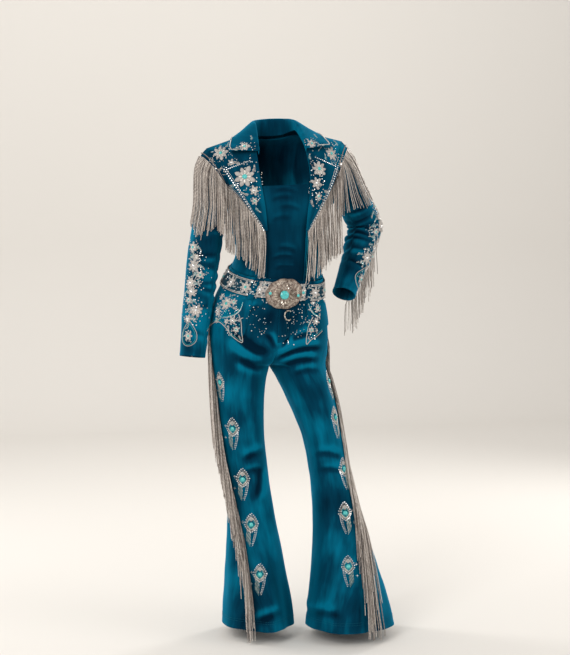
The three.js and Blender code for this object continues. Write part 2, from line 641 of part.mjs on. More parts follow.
// Heights of the panel rows: closer together round the crotch, where the legs part.
const PANEL_TOP = 1050;
const PANEL_ROWS = [
  ...Array.from({ length: 12 }, (_, i) => mix(HEM, 800, i / 12)),
  800,
  822,
  834,
  846,
  862,
  884,
  912,
  948,
  1000,
  PANEL_TOP,
];
const LEG_CUT = 0.0007;

const trouserPanel = (name, front) => (s, t) => {
  const place = t * (PANEL_ROWS.length - 1);
  const low = Math.min(Math.floor(place), PANEL_ROWS.length - 2);
  const height = mix(PANEL_ROWS[low], PANEL_ROWS[low + 1], place - low);
  const seam = rowAtHeight(LEGS[name], height).seam;
  const way = front ? mix(seam + LEG_CUT, 1 - LEG_CUT, s) : mix(-1 + LEG_CUT, seam - LEG_CUT, s);
  return leg(name, way, height);
};

for (const [name, side] of Object.entries(SIDES))
  for (const [face, front] of [
    ["front", true],
    ["back", false],
  ])
    add(
      `trouser_${face}_${name}`,
      wall(trouserPanel(name, front), {
        columns: 9,
        rows: PANEL_ROWS.length - 1,
        from: -VELVET,
        to: 0,
        facing: -side,
      }),
      "velvet",
    );

// The waist ring, once round from the centre front: the wearer's left side first.
const waistRing = (s, height) => {
  const name = s < 0.5 ? "left" : "right";
  const share = s < 0.5 ? 2 * s : 2 * (1 - s);
  const point = leg(name, 1 - 2 * share, height);
  if (Math.abs(Math.abs(1 - 2 * share) - 1) < 1e-6) point.x = rowAtHeight(POSTURE, height).shift;
  return point;
};
const band = (low, high) => (s, t) => waistRing(((s % 1) + 1) % 1, mix(low, high, t));

add(
  "waistband",
  wall(band(PANEL_TOP + 2 * SEAM, WAIST), { columns: 32, rows: 2, from: -VELVET, to: 0, round: true }),
  "velvet",
);

// Western pocket panels on the hips, and the fly, laid on the trouser fronts.
const POCKET_EDGE = [
  { x: 84, low: 1038, high: 1042 },
  { x: 92, low: 958, high: 1042 },
  { x: 104, low: 922, high: 1042 },
  { x: 124, low: 944, high: 1042 },
  { x: 146, low: 962, high: 1042 },
  { x: 166, low: 968, high: 1042 },
];

const pocket = (name) => (s, t) => {
  const r = rowAt(POCKET_EDGE, s * (POCKET_EDGE.length - 1));
  const height = mix(r.low, r.high, t);
  const outer = 2 * rowAtHeight(LEGS[name], height).out - 4;
  return pelvisAt(SIDES[name] * mix(POCKET_EDGE[0].x, outer, (r.x - 84) / 82), height);
};
for (const [name, side] of Object.entries(SIDES))
  add(
    `pocket_${name}`,
    wall(pocket(name), { columns: 8, rows: 4, ...overlay(1.6), facing: side }),
    "velvet",
  );

const FLY = { width: 34, low: 908, high: 1042 };
const fly = (s, t) => {
  const height = mix(FLY.low + 22 * s ** 2, FLY.high, t);
  return pelvisAt(mix(0.4, FLY.width, s), height);
};
add("fly", wall(fly, { columns: 4, rows: 6, from: 0.8, to: 1.9, facing: 1 }), "velvet");

// ---- Belt -----------------------------------------------------------------------------------------------

const BELT_LIFT = 1;
add(
  "belt",
  wall(band(BELT.low, BELT.high), {
    columns: 32,
    rows: 2,
    from: BELT_LIFT,
    to: BELT_LIFT + LEATHER,
    round: true,
  }),
  "strap",
);

// Belt loops: strips that stand over the belt and are sewn to the waistband at both ends.
const LOOP = { half: 6.5, over: BELT_LIFT + LEATHER + 1.2 };
const LOOP_ROWS = [
  { height: 1044.5, rise: 2 * SEAM },
  { height: 1051.5, rise: LOOP.over },
  { height: 1068, rise: LOOP.over },
  { height: 1090, rise: LOOP.over },
  { height: 1106.5, rise: LOOP.over },
  { height: WAIST - 0.5, rise: 2 * SEAM },
];
const LOOPS = [
  { name: "front_right", at: 0.862 },
  { name: "front_left", at: 0.127 },
  { name: "side_right", at: 0.665 },
  { name: "side_left", at: 0.335 },
  { name: "back", at: 0.5 },
];
const loopRow = (t) => {
  const place = t * (LOOP_ROWS.length - 1);
  const low = Math.min(Math.floor(place), LOOP_ROWS.length - 2);
  const [a, b] = [LOOP_ROWS[low], LOOP_ROWS[low + 1]];
  return { height: mix(a.height, b.height, place - low), rise: mix(a.rise, b.rise, place - low) };
};
for (const { name, at } of LOOPS) {
  const half = LOOP.half / 800;
  const strip = (s, t) => waistRing(at + mix(-half, half, s), loopRow(t).height);
  const shape = { from: (s, t) => loopRow(t).rise, to: (s, t) => loopRow(t).rise + VELVET };
  add(`belt_loop_${name}`, wall(strip, { columns: 1, rows: LOOP_ROWS.length - 1, ...shape }), "velvet");
}

// Trophy buckle: a scalloped plate curved to the belt, with petals round a set stone.
const BUCKLE = { x: 4, height: 1070, half: 54, tall: 47, columns: 40, lift: BELT_LIFT + LEATHER + 1 };
const BUCKLE_RINGS = [
  { radius: 2, share: 0, rise: 4, petal: 0 },
  { radius: 14.4, share: 0, rise: 4, petal: 0 },
  { radius: 16.6, share: 0, rise: 7.5, petal: 0.6 },
  { radius: 0, share: 0.52, rise: 6, petal: 1.6 },
  { radius: 0, share: 0.77, rise: 5.2, petal: 0.8 },
  { radius: 0, share: 1, rise: 2.2, petal: 0 },
];
const scallop = (angle) => 1 + 0.045 * Math.abs(Math.cos(5 * angle)) - 0.02 * Math.cos(2 * angle) ** 2;

// A point of the buckle at an angle, at a radius or a share of the way to its outline, lifted off the belt.
function buckleAt(angle, { radius, share }, lift) {
  const x = BUCKLE.x + (BUCKLE.half * share * scallop(angle) + radius) * Math.cos(angle);
  const height = BUCKLE.height + (BUCKLE.tall * share * scallop(angle) + radius) * Math.sin(angle);
  const surface = (s, t) => pelvisAt(x + (s - 0.5) * 4, height + (t - 0.5) * 4);
  return surface(0.5, 0.5).addScaledVector(normalAt(surface, 0.5, 0.5, 1), lift);
}

function buckle() {
  const vertices = [];
  const triangles = [];
  const ringCount = BUCKLE_RINGS.length;
  for (const [face, rings] of [
    [1, BUCKLE_RINGS],
    [0, BUCKLE_RINGS],
  ])
    for (const { radius, share, rise, petal } of rings)
      for (let i = 0; i < BUCKLE.columns; i++) {
        const angle = (2 * Math.PI * i) / BUCKLE.columns;
        const relief = face * (rise + petal * Math.cos((BUCKLE.columns / 2) * angle));
        vertices.push(buckleAt(angle, { radius, share }, BUCKLE.lift + relief));
      }
  const at = (face, ring, i) => (face * ringCount + ring) * BUCKLE.columns + (i % BUCKLE.columns);
  for (let i = 0; i < BUCKLE.columns; i++) {
    for (const face of [0, 1])
      for (let ring = 0; ring < ringCount - 1; ring++) {
        const quad = [at(face, ring, i), at(face, ring + 1, i), at(face, ring + 1, i + 1), at(face, ring, i + 1)];
        if (face) quad.reverse();
        triangles.push([quad[0], quad[1], quad[2]], [quad[0], quad[2], quad[3]]);
      }
    const rim = ringCount - 1;
    triangles.push([at(0, rim, i), at(1, rim, i), at(1, rim, i + 1)]);
    triangles.push([at(0, rim, i), at(1, rim, i + 1), at(0, rim, i + 1)]);
    if (i > 0 && i < BUCKLE.columns - 1) {
      triangles.push([at(0, 0, 0), at(0, 0, i), at(0, 0, i + 1)]);
      triangles.push([at(1, 0, 0), at(1, 0, i + 1), at(1, 0, i)]);
    }
  }
  return solidOf(vertices, triangles);
}
add("buckle", buckle(), "silver");

// Stones set on the buckle: low domes that sit just clear of the silver.
const STONES = [
  { name: "centre", x: 0, radius: 13.6, tall: 6, seat: 4 },
  { name: "right", x: -41, radius: 4.6, tall: 3, seat: 7 },
  { name: "left", x: 41, radius: 4.6, tall: 3, seat: 7 },
];
for (const { name, x, radius, tall, seat } of STONES) {
  const profile = [new THREE.Vector2(0, 0), new THREE.Vector2(radius, 0)];
  for (let step = 1; step <= 4; step++)
    profile.push(
      new THREE.Vector2(radius * Math.cos((step * Math.PI) / 8), 1 + (tall - 1) * Math.sin((step * Math.PI) / 8)),
    );
  profile[profile.length - 1].x = 0;
  const dome = new THREE.LatheGeometry(profile, 12).rotateX(Math.PI / 2);
  const place = { radius: Math.abs(x), share: 0 };
  const base = buckleAt(x < 0 ? Math.PI : 0, place, BUCKLE.lift + seat + SEAM);
  const tip = buckleAt(x < 0 ? Math.PI : 0, place, BUCKLE.lift + seat + SEAM + 10);
  const mesh = new THREE.Mesh(dome, materials.turquoise);
  mesh.name = `buckle_stone_${name}`;
  mesh.position.copy(base);
  mesh.quaternion.setFromUnitVectors(new Vector3(0, 0, 1), tip.sub(base).normalize());
  suit.add(mesh);
}

// ---- Fringe -----------------------------------------------------------------------------------------------

// The furthest forward that the jacket front and the hanging right sleeve reach above a point.
function hangFront(side, x, from, to, steps) {
  const points = [];
  let ahead = 0;
  for (let k = 0; k <= steps; k++) {
    const height = mix(from, to, k / steps);
    const index = indexAt(TORSO, height);
    const r = rowAt(TORSO, index);
    const y = -r.front * (1 - Math.min(x / r.wide, 0.985) ** TORSO_SQUARE) ** (1 / TORSO_SQUARE);
    const overSleeve = k > 0 ? -64 * ease((x - 122) / 30) : 0;
    ahead = Math.min(ahead, y, overSleeve);
    points.push(stand(side * x, ahead - 4.6, height));
  }
  return points;
}

const CHEST = { first: 68, last: 150, endInner: 1118, endOuter: 1178, drop: 5 };
for (const [name, side] of Object.entries(SIDES)) {
  const count = STRANDS.chest;
  const rootHeight = (x) => yokeLine(x) - CHEST.drop;
  const strip = (s, t) => {
    const x = mix(CHEST.first - 3, CHEST.last + 2, s);
    return torsoAt(side * x, indexAt(TORSO, mix(rootHeight(x) - 2.5, rootHeight(x) + 2.5, t)));
  };
  const locks = Array.from({ length: count }, (_, i) => {
    const x = mix(CHEST.first, CHEST.last, i / (count - 1));
    const end = mix(CHEST.endInner, CHEST.endOuter, i / (count - 1)) + 5 * Math.sin(i * 2.4);
    return hangFront(side, x, rootHeight(x) - 6, end, 2);
  });
  add(`fringe_chest_${name}`, fringeSolid(strip, locks, { columns: count, rows: 1, facing: side }), "fringe");
}

// Armhole fringe: locks that start round the front of the armhole and lie on the sleeve.
// Those in front of the armpit fall free, the others lie on the sleeve.
const CAP_FRINGE = { first: 0.17, last: 0.53, end: { right: 0.5, left: 0.44 }, free: { right: 168, left: 150 } };
for (const [name, side] of Object.entries(SIDES)) {
  const count = STRANDS.armhole;
  const strip = (s, t) => sleeve(name, mix(CAP_FRINGE.first - 0.01, CAP_FRINGE.last + 0.01, s), mix(0.045, 0.02, t));
  const locks = Array.from({ length: count }, (_, i) => {
    const turn = mix(CAP_FRINGE.first, CAP_FRINGE.last, i / (count - 1));
    const end = CAP_FRINGE.end[name] + 0.03 * Math.cos(i * 1.9) - 0.06 * (i / (count - 1));
    const surface = (s, t) => sleeve(name, mix(0.15, 0.55, s), mix(1, 0.01, t));
    const place = (along, lift) => {
      const [s, t] = [(turn - 0.15) / 0.4, (1 - along) / 0.99];
      return surface(s, t).addScaledVector(normalAt(surface, s, t, side), lift);
    };
    const free = ease((0.33 - turn) / 0.1);
    const root = place(0.05, 4.6);
    return [0.055, 0.14, 0.26, end].map((along, k) => {
      const hung = root.clone().add(new Vector3(0, k ? -9 : -3, -[5, 40, 90, CAP_FRINGE.free[name]][k]));
      return place(along, 4.6).lerp(hung, free);
    });
  });
  add(`fringe_armhole_${name}`, fringeSolid(strip, locks, { columns: count, rows: 1, facing: side }), "fringe");
}

// Back yoke fringe.
{
  const count = STRANDS.back;
  const half = 132;
  const rootHeight = (x) => backYokeLine(x) - 5;
  const strip = (s, t) => {
    const x = mix(-half - 3, half + 3, s);
    return torsoAt(x, indexAt(TORSO, mix(rootHeight(x) - 2.5, rootHeight(x) + 2.5, t)), true);
  };
  const locks = Array.from({ length: count }, (_, i) => {
    const x = mix(-half, half, i / (count - 1));
    const end = rootHeight(x) - 150 + 5 * Math.sin(i * 2.1);
    let behind = 0;
    return [0, 1, 2].map((k) => {
      const height = mix(rootHeight(x) - 6, end, k / 2);
      const index = indexAt(TORSO, height);
      const r = rowAt(TORSO, index);
      const y = r.back * (1 - Math.min(Math.abs(x) / r.wide, 0.985) ** TORSO_SQUARE) ** (1 / TORSO_SQUARE);
      behind = Math.max(behind, y);
      return stand(x, behind + 4.6, height);
    });
  });
  add("fringe_back", fringeSolid(strip, locks, { columns: count, rows: 1, facing: -1 }), "fringe");
}

// Fringe that falls from a long seam: each lock runs to its own lane beside the seam, over the roots below it.
const LANES = 9;
const laneOf = (i) => ((i * 4) % LANES) - (LANES - 1) / 2;

const SLEEVE_FRINGE = {
  right: { first: 0.62, last: 0.84, turn: 0.78, length: 84, clear: 9, patch: 0.7 },
  left: { first: 0.58, last: 0.965, turn: 0.62, length: 125, clear: 9, patch: 0.54 },
};
const SLEEVE_LANE = 4.6;
for (const [name, side] of Object.entries(SIDES)) {
  const count = STRANDS.sleeve;
  const { first, last, turn, length, clear, patch: start } = SLEEVE_FRINGE[name];
  const patch = (s, t) => sleeve(name, start + 0.15 * s, mix(1, 0.5, t));
  const place = (along, lift) => {
    const [s, t] = [(turn - start) / 0.15, (1 - along) / 0.5];
    return patch(s, t).addScaledVector(normalAt(patch, s, t, side), lift);
  };
  const step = (last - first) / (count - 1);
  const strip = (s, t) => sleeve(name, turn + mix(-0.008, 0.008, s), mix(last + step / 2, first - step / 2, t));
  const locks = Array.from({ length: count }, (_, i) => {
    const along = mix(last, first, i / (count - 1));
    const root = place(along, 1.5);
    const away = place(along, 11.5).sub(root).setZ(0).normalize();
    const sideways = new Vector3(away.y, -away.x, 0).multiplyScalar(laneOf(i) * SLEEVE_LANE);
    const fall = (drop, out, shift) =>
      root.clone().addScaledVector(away, out).addScaledVector(sideways, shift).add(new Vector3(0, 0, -drop));
    return [fall(1, 4.4, 0), fall(26, clear, 1), fall(length, clear + 3, 1)];
  });
  const shape = { columns: 1, rows: count, facing: side, from: 0.7, to: 2.5 };
  add(`fringe_sleeve_${name}`, fringeSolid(strip, locks, shape), "fringe");
}

// Each leg lock slips under those from further up the seam, so its lift grows as it falls.
const LEG_FRINGE = {
  first: 930,
  last: 300,
  length: 300,
  lane: 0.0165,
  apart: 4.9,
  floor: 6,
  lifts: [4.2, 4.5, 10.4, 11.2],
  drift: { right: 0.115, left: 0.025 },
};
const LEG_LANES = [0, 1, -1, 2, -2, 3, -3, 4, -4];
for (const [name, side] of Object.entries(SIDES)) {
  const count = STRANDS.leg;
  const table = LEGS[name];
  const patch = (s, t) => {
    const height = mix(HEM, 960, t);
    return leg(name, rowAtHeight(table, height).seam + mix(-0.3, 0.3, s), height);
  };
  const place = (offset, height, lift) => {
    const s = (offset + 0.3) / 0.6;
    const t = clamp((height - HEM) / (960 - HEM), 0, 1);
    const point = patch(s, t).addScaledVector(normalAt(patch, s, t, -side), lift);
    point.z += Math.min(height - HEM, 0);
    return point;
  };
  const step = (LEG_FRINGE.first - LEG_FRINGE.last) / (count - 1);
  const strip = (s, t) => {
    const height = mix(LEG_FRINGE.last - step / 2, LEG_FRINGE.first + step / 2, t);
    return leg(name, rowAtHeight(table, height).seam + mix(-0.011, 0.011, s), height);
  };
  const locks = Array.from({ length: count }, (_, i) => {
    const top = mix(LEG_FRINGE.last, LEG_FRINGE.first, i / (count - 1));
    // The lanes spread and drift forward over the flare.
    const offset = (height) => {
      const apart = Math.max(LEG_FRINGE.lane, LEG_FRINGE.apart / (Math.PI * rowAtHeight(table, height).wide));
      const flare = ease((460 - height) / 460);
      return LEG_LANES[i % LANES] * apart * (1 + 1.3 * flare) + LEG_FRINGE.drift[name] * ease((760 - height) / 760);
    };
    const end = Math.max(top - LEG_FRINGE.length - 12 * Math.sin(i * 1.7), LEG_FRINGE.floor);
    const drops = [top, top - 24, mix(top - 24, end, 0.3), end];
    // A lock hangs plumb where the leg falls away below its root, and rests on the leg where it flares.
    let out = 0;
    return drops.map((height, k) => {
      const point = place(k ? offset(height) : 0, height, LEG_FRINGE.lifts[k]);
      out = Math.max(side * point.x, out - 4);
      point.x = side * out;
      return point;
    });
  });
  add(`fringe_leg_${name}`, fringeSolid(strip, locks, { columns: 1, rows: count, facing: -side }), "fringe");
}

suit.position.z = -SHOULDER_HEIGHT;
export default suit;
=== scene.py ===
import math

import bpy
import numpy as np
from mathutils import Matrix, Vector
from mathutils.bvhtree import BVHTree


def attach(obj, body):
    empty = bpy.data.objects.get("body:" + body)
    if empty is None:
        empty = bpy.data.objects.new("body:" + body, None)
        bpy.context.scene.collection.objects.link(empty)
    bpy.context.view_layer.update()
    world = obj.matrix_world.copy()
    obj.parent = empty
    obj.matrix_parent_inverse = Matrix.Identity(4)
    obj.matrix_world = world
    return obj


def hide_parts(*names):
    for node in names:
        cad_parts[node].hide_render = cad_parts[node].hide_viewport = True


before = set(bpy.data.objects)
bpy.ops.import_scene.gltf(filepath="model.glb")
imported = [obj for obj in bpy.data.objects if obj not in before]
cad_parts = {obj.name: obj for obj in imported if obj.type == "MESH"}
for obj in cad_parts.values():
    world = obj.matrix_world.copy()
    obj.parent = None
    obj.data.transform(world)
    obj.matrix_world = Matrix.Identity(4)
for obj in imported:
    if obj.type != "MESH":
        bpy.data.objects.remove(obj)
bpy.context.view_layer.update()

# ---- Camera, floor and light ------
# The suit stands in a plain cream room on a pale floor, lit by soft boxes from the wearer's front right, with
# a wide fill on the other side. The viewer stands nearly five metres off, a little above waist height.
FLOOR = -1.5
# The frame in pixels, how far its middle is moved, and the sensor's width in millimetres.
FRAME_WIDE, FRAME_TALL, SHIFT, SENSOR = 570, 655, 10, 36
VIEW = {"azimuth": -14.0, "elevation": 3.2, "distance": 4.8, "height": -0.5605, "pixels": 1573.8}


def look_from(azimuth, elevation, distance, height, pixels):
    a, e = math.radians(azimuth), math.radians(elevation)
    away = Vector((math.sin(a) * math.cos(e), -math.cos(a) * math.cos(e), math.sin(e)))
    data = bpy.data.cameras.new("camera")
    data.sensor_fit = "HORIZONTAL"
    data.sensor_width = SENSOR
    data.lens = SENSOR * pixels / FRAME_WIDE
    data.shift_x = SHIFT / FRAME_WIDE
    camera = bpy.data.objects.new("camera", data)
    bpy.context.scene.collection.objects.link(camera)
    camera.location = Vector((0, 0, height)) + away * distance
    camera.rotation_euler = away.to_track_quat("Z", "Y").to_euler()
    bpy.context.scene.camera = camera


look_from(**VIEW)
bpy.context.scene.view_settings.view_transform = "Standard"


def plain(name, colour, roughness=0.9, **sockets):
    made = bpy.data.materials.new(name)
    made.use_nodes = True
    shader = made.node_tree.nodes["Principled BSDF"]
    shader.inputs["Base Color"].default_value = (*colour, 1)
    shader.inputs["Roughness"].default_value = roughness
    for key, value in sockets.items():
        shader.inputs[key.replace("_", " ")].default_value = value
    return made


ROOM = {"near": -7, "wall": 5.0, "curve": 1.2, "high": 7, "half": 9}


def room():
    """One sheet: a floor that curves up into the wall behind."""
    wall, curve = ROOM["wall"], ROOM["curve"]
    bend = np.linspace(0.1, math.pi / 2, 12)
    profile = [(ROOM["near"], 0), (wall, 0)]
    profile += [(wall + curve * math.sin(a), curve - curve * math.cos(a)) for a in bend]
    profile += [(wall + curve, ROOM["high"])]
    points = [(x, y, FLOOR + z) for y, z in profile for x in (-ROOM["half"], ROOM["half"])]
    faces = [(2 * i, 2 * i + 1, 2 * i + 3, 2 * i + 2) for i in range(len(profile) - 1)]
    mesh = bpy.data.meshes.new("room")
    mesh.from_pydata(points, [], faces)
    mesh.shade_smooth()
    made = bpy.data.objects.new("room", mesh)
    bpy.context.scene.collection.objects.link(made)
    mesh.materials.append(plain("room_paint", (0.745, 0.722, 0.69), 0.95))


room()


def soft_box(name, place, aim, width, height, power, colour=(1, 0.985, 0.96)):
    data = bpy.data.lights.new(name, "AREA")
    data.shape = "RECTANGLE"
    data.size, data.size_y = width, height
    data.energy = power
    data.color = colour
    lamp = bpy.data.objects.new(name, data)
    bpy.context.scene.collection.objects.link(lamp)
    lamp.location = place
    lamp.rotation_euler = (Vector(place) - Vector(aim)).to_track_quat("Z", "Y").to_euler()


soft_box("key", (-2.6, -3.4, 1.3), (0, 0, -0.6), 1.8, 2.6, 120)
soft_box("fill", (3.2, -2.6, 0.6), (0, 0, -0.7), 2.2, 2.6, 42)
soft_box("rim_left", (-2.6, 1.8, 0.9), (0, 0, -0.6), 0.8, 2.4, 45)
soft_box("rim_right", (2.6, 1.9, 0.9), (0, 0, -0.6), 0.8, 2.4, 45)
soft_box("wall", (0, 2.4, 3.2), (0, 6.6, 0.4), 7, 1.2, 100)
world = bpy.data.worlds.new("room_light")
bpy.context.scene.world = world
world.use_nodes = True
world.node_tree.nodes["Background"].inputs["Color"].default_value = (1, 0.965, 0.92, 1)
world.node_tree.nodes["Background"].inputs["Strength"].default_value = 0.62

# ---- Trousers ------
# Four long panels of cotton velvet, a front and a back for each leg, cut slim to the knee and flared to the
# floor. They are sewn down the outseam and inseam and round the crotch, and hemmed with a double turn.


def table(names, *rows):
    return {name: np.array(column, float) for name, column in zip(names.split(), zip(*rows))}


def row_at(rows, index):
    """The row of a table at a fractional index, on one smooth curve through each column."""
    index = np.asarray(index, float)
    last = len(next(iter(rows.values()))) - 1
    i = np.clip(np.floor(index).astype(int), 0, last - 1)
    u = index - i
    row = {}
    for name, column in rows.items():
        b, c = column[i], column[i + 1]
        a = np.where(i > 0, column[np.maximum(i - 1, 0)], 2 * b - c)
        d = np.where(i + 2 <= last, column[np.minimum(i + 2, last)], 2 * c - b)
        bend = u * (3 * (b - c) + d - a) + 2 * a - 5 * b + 4 * c - d
        row[name] = b + 0.5 * u * (c - a + u * bend)
    return row


def index_at(rows, height):
    last = len(rows["height"]) - 1
    dense = np.linspace(0, last, 60 * last + 1)
    return np.interp(height, row_at(rows, dense)["height"], dense)


def row_at_height(rows, height):
    return row_at(rows, index_at(rows, height))


def mix(a, b, share):
    return a + (b - a) * share


def ease(value):
    t = np.clip(value, 0, 1)
    return t * t * (3 - 2 * t)


def bell(value, width):
    return np.exp(-((value / width) ** 2))


def shares(columns, rows):
    """Shares from 0 to 1 across a panel and up it."""
    return np.linspace(0, 1, columns)[None, :], np.linspace(0, 1, rows)[:, None]


POSTURE = table(
    "height shift tilt dip",
    (0, -20, 0, 0), (300, -20, 0, 0), (600, -20, 0, 0), (780, -20, -0.02, 2), (900, -20, -0.06, 7),
    (1000, -16, -0.08, 16), (1060, -7, -0.08, 24), (1110, 5, -0.07, 24), (1170, 11, -0.035, 12),
    (1250, 9, 0.01, 0), (1350, 6, 0.045, 0), (1450, 1, 0.062, 0), (1550, -3, 0.065, 0),
    (1650, -5, 0.065, 0),
)  # fmt: skip
SIDES = {"right": -1, "left": 1}


def stand(x, y, height):
    """A place on the garment, in millimetres above the floor, moved as the wearer stands."""
    x, y, height = np.broadcast_arrays(x, y, height)
    lean = row_at_height(POSTURE, height)
    return np.stack([x + lean["shift"], y, height + lean["tilt"] * x + lean["dip"] * y / 100], -1)


RING = "height out ahead wide front back belly twist seam"
PELVIS = [
    (832, 88, 0, 87.8, 98, 112, 0, 0, 0.02), (880, 90.5, 0, 90.5, 104, 120, 2, 0, 0.01),
    (940, 91, 0, 91, 106, 120, 6, 0, 0), (1000, 87, 0, 87, 105, 114, 9, 0, 0),
    (1056, 78, 0, 78, 102, 104, 10, 0, 0), (1110, 71, 0, 71, 100, 98, 10, 0, 0),
]  # fmt: skip
LEGS = {
    "right": table(
        RING,
        (0, 42, -6, 104, 158, 148, 0, 8, 0.26), (100, 42, -4, 100, 140, 132, 0, 7, 0.25),
        (200, 46, -2, 90, 118, 114, 0, 5, 0.22), (300, 51, 0, 79, 97, 99, 0, 3, 0.18),
        (400, 58, 0, 68, 81, 86, 0, 1, 0.14), (500, 69, -2, 64, 71, 78, 0, 0, 0.1),
        (600, 82, -3, 66, 72, 80, 0, 0, 0.07), (700, 89, -2, 70, 80, 88, 0, 0, 0.05),
        (780, 90, 0, 78, 91, 101, 0, 0, 0.03),
        *PELVIS,
    ),
    "left": table(
        RING,
        (0, 239, -90, 139, 164, 156, 0, -32, 0.3), (100, 234, -80, 124, 150, 142, 0, -30, 0.29),
        (200, 224, -69, 105, 126, 122, 0, -24, 0.26), (300, 212, -58, 86, 99, 100, 0, -15, 0.22),
        (400, 196, -47, 68, 80, 84, 0, -8, 0.17), (500, 180, -36, 59, 71, 77, 0, -4, 0.12),
        (600, 163, -25, 60, 74, 80, 0, -2, 0.08), (700, 137, -14, 70, 83, 90, 0, 0, 0.05),
        (780, 108, -5, 80, 92, 102, 0, 0, 0.03),
        *PELVIS,
    ),
}
CROTCH, HEM, PANEL_TOP = 830, 40, 1050
RISE = {"front": 74, "back": 118}


def leg(name, way, height):
    """way runs from the outer side (0) to the inseam or centre seam (1 in front, -1 behind)."""
    way, height = np.broadcast_arrays(np.asarray(way, float), np.asarray(height, float))
    r = row_at_height(LEGS[name], height)
    front = way >= 0
    share = np.abs(way)
    depth = np.where(front, -r["front"], r["back"])
    rise = np.clip((height - CROTCH) / np.where(front, RISE["front"], RISE["back"]), 0, 1)
    outer = np.pi * np.minimum(share, 0.5)
    t = np.maximum(2 * share - 1, 0)
    middle = np.sqrt(1 - (1 - rise) ** 2)
    past = share > 0.5
    x = np.where(past, -r["wide"] * mix(np.sin(np.pi * t / 2), t, ease(rise)), r["wide"] * np.cos(outer))
    fall = mix(1 - (1 - middle) * (1 - np.cos(np.pi * t / 2)), 1, ease(rise * 1.4 - 0.4))
    belly = np.sign(depth) * r["belly"] * (1 - np.cos(np.pi * t)) * ease(rise) / 2
    y = np.where(past, depth * fall + belly, depth * np.sin(outer))
    low = ease((380 - height) / 360)
    flute = low * (5 * np.sin(5 * np.pi * way + 0.6) + 1.6 * np.sin(11 * np.pi * way + 2.1 * SIDES[name]))
    grow = 1 + flute / r["wide"]
    turn = np.radians(r["twist"]) * (1 if name == "right" else -1)
    across, along = x * grow, y * grow
    out = r["out"] + across * np.cos(turn) + along * np.sin(turn)
    y = r["ahead"] - across * np.sin(turn) + along * np.cos(turn)
    out = np.where(height > CROTCH, np.maximum(out, 0.15), out)
    return stand(SIDES[name] * out, y, height)


def unit(v):
    return v / np.maximum(np.linalg.norm(v, axis=-1, keepdims=True), 1e-9)


def normals_of(points, facing, round_=False):
    if round_:
        across = np.roll(points, -1, 1) - np.roll(points, 1, 1)
    else:
        across = np.gradient(points, axis=1)
    return facing * unit(np.cross(across, np.gradient(points, axis=0)))


def softness(points, depth, seed):
    """Low, slow unevenness of hung cloth, as a sum of a few long waves."""
    waves = np.random.default_rng(seed)
    total = np.zeros(points.shape[:-1])
    for _ in range(9):
        way = unit(waves.normal(size=3) * (1, 1, 0.6))
        total += np.sin(points @ way * 2 * np.pi / waves.uniform(55, 190) + waves.uniform(0, 6.3))
    return depth * total / 3


def creases(points, folds, toward):
    """Each fold is a soft trough with a ridge on its upper side, from one place to another in front or
    behind: x0, z0, x1, z1, width, depth. toward is +1 behind and -1 in front."""
    total = np.zeros(points.shape[:-1])
    x, y, z = points[..., 0], points[..., 1], points[..., 2]
    for x0, z0, x1, z1, width, depth in folds:
        run = np.hypot(x1 - x0, z1 - z0)
        ux, uz = (x1 - x0) / run, (z1 - z0) / run
        along = ((x - x0) * ux + (z - z0) * uz) / run
        bow = 0.09 * run * np.sin(np.pi * np.clip(along, 0, 1))
        off = (x - x0) * -uz + (z - z0) * ux - bow
        fade = ease(along / 0.3 + 0.1) * ease((1 - along) / 0.3 + 0.1)
        side = ease(toward * y / 30 + 0.2)
        total += depth * fade * side * (0.75 * bell(off - 1.5 * width, 1.2 * width) - bell(off, width))
    return total


PANELS = {}
LEVEL = 1


def steps(length, each):
    return int(max(3, round(length / each / LEVEL))) + 1


def metres(points):
    return (np.asarray(points) - (0, 0, 1500)) * 0.001


def lengths(points, axis=0):
    """How far each place lies from the first one along its row or column."""
    each = np.linalg.norm(np.diff(points, axis=axis), axis=-1)
    first = np.zeros_like(np.take(each, [0], axis))
    return np.concatenate([first, np.cumsum(each, axis)], axis)


def mesh_from(name, points, faces, uv=None, crisp=50):
    """A closed mesh of quads, turned outwards, at its place in metres."""
    points, faces = metres(points), np.asarray(faces)
    a, b, c, d = (points[faces[:, k]] for k in range(4))
    volume = np.einsum("ij,ij->i", a, np.cross(b, c) + np.cross(c, d)).sum()
    if volume < 0:
        faces = faces[:, ::-1]
        uv = None if uv is None else uv[:, ::-1]
    mesh = bpy.data.meshes.new(name)
    mesh.from_pydata(points.tolist(), [], faces.tolist())
    mesh.shade_smooth()
    mesh.set_sharp_from_angle(angle=math.radians(crisp))
    if uv is not None:
        layer = mesh.uv_layers.new(name="cut")
        layer.data.foreach_set("uv", np.ascontiguousarray(uv, np.float32).ravel())
    made = bpy.data.objects.new(name, mesh)
    bpy.context.scene.collection.objects.link(made)
    return made


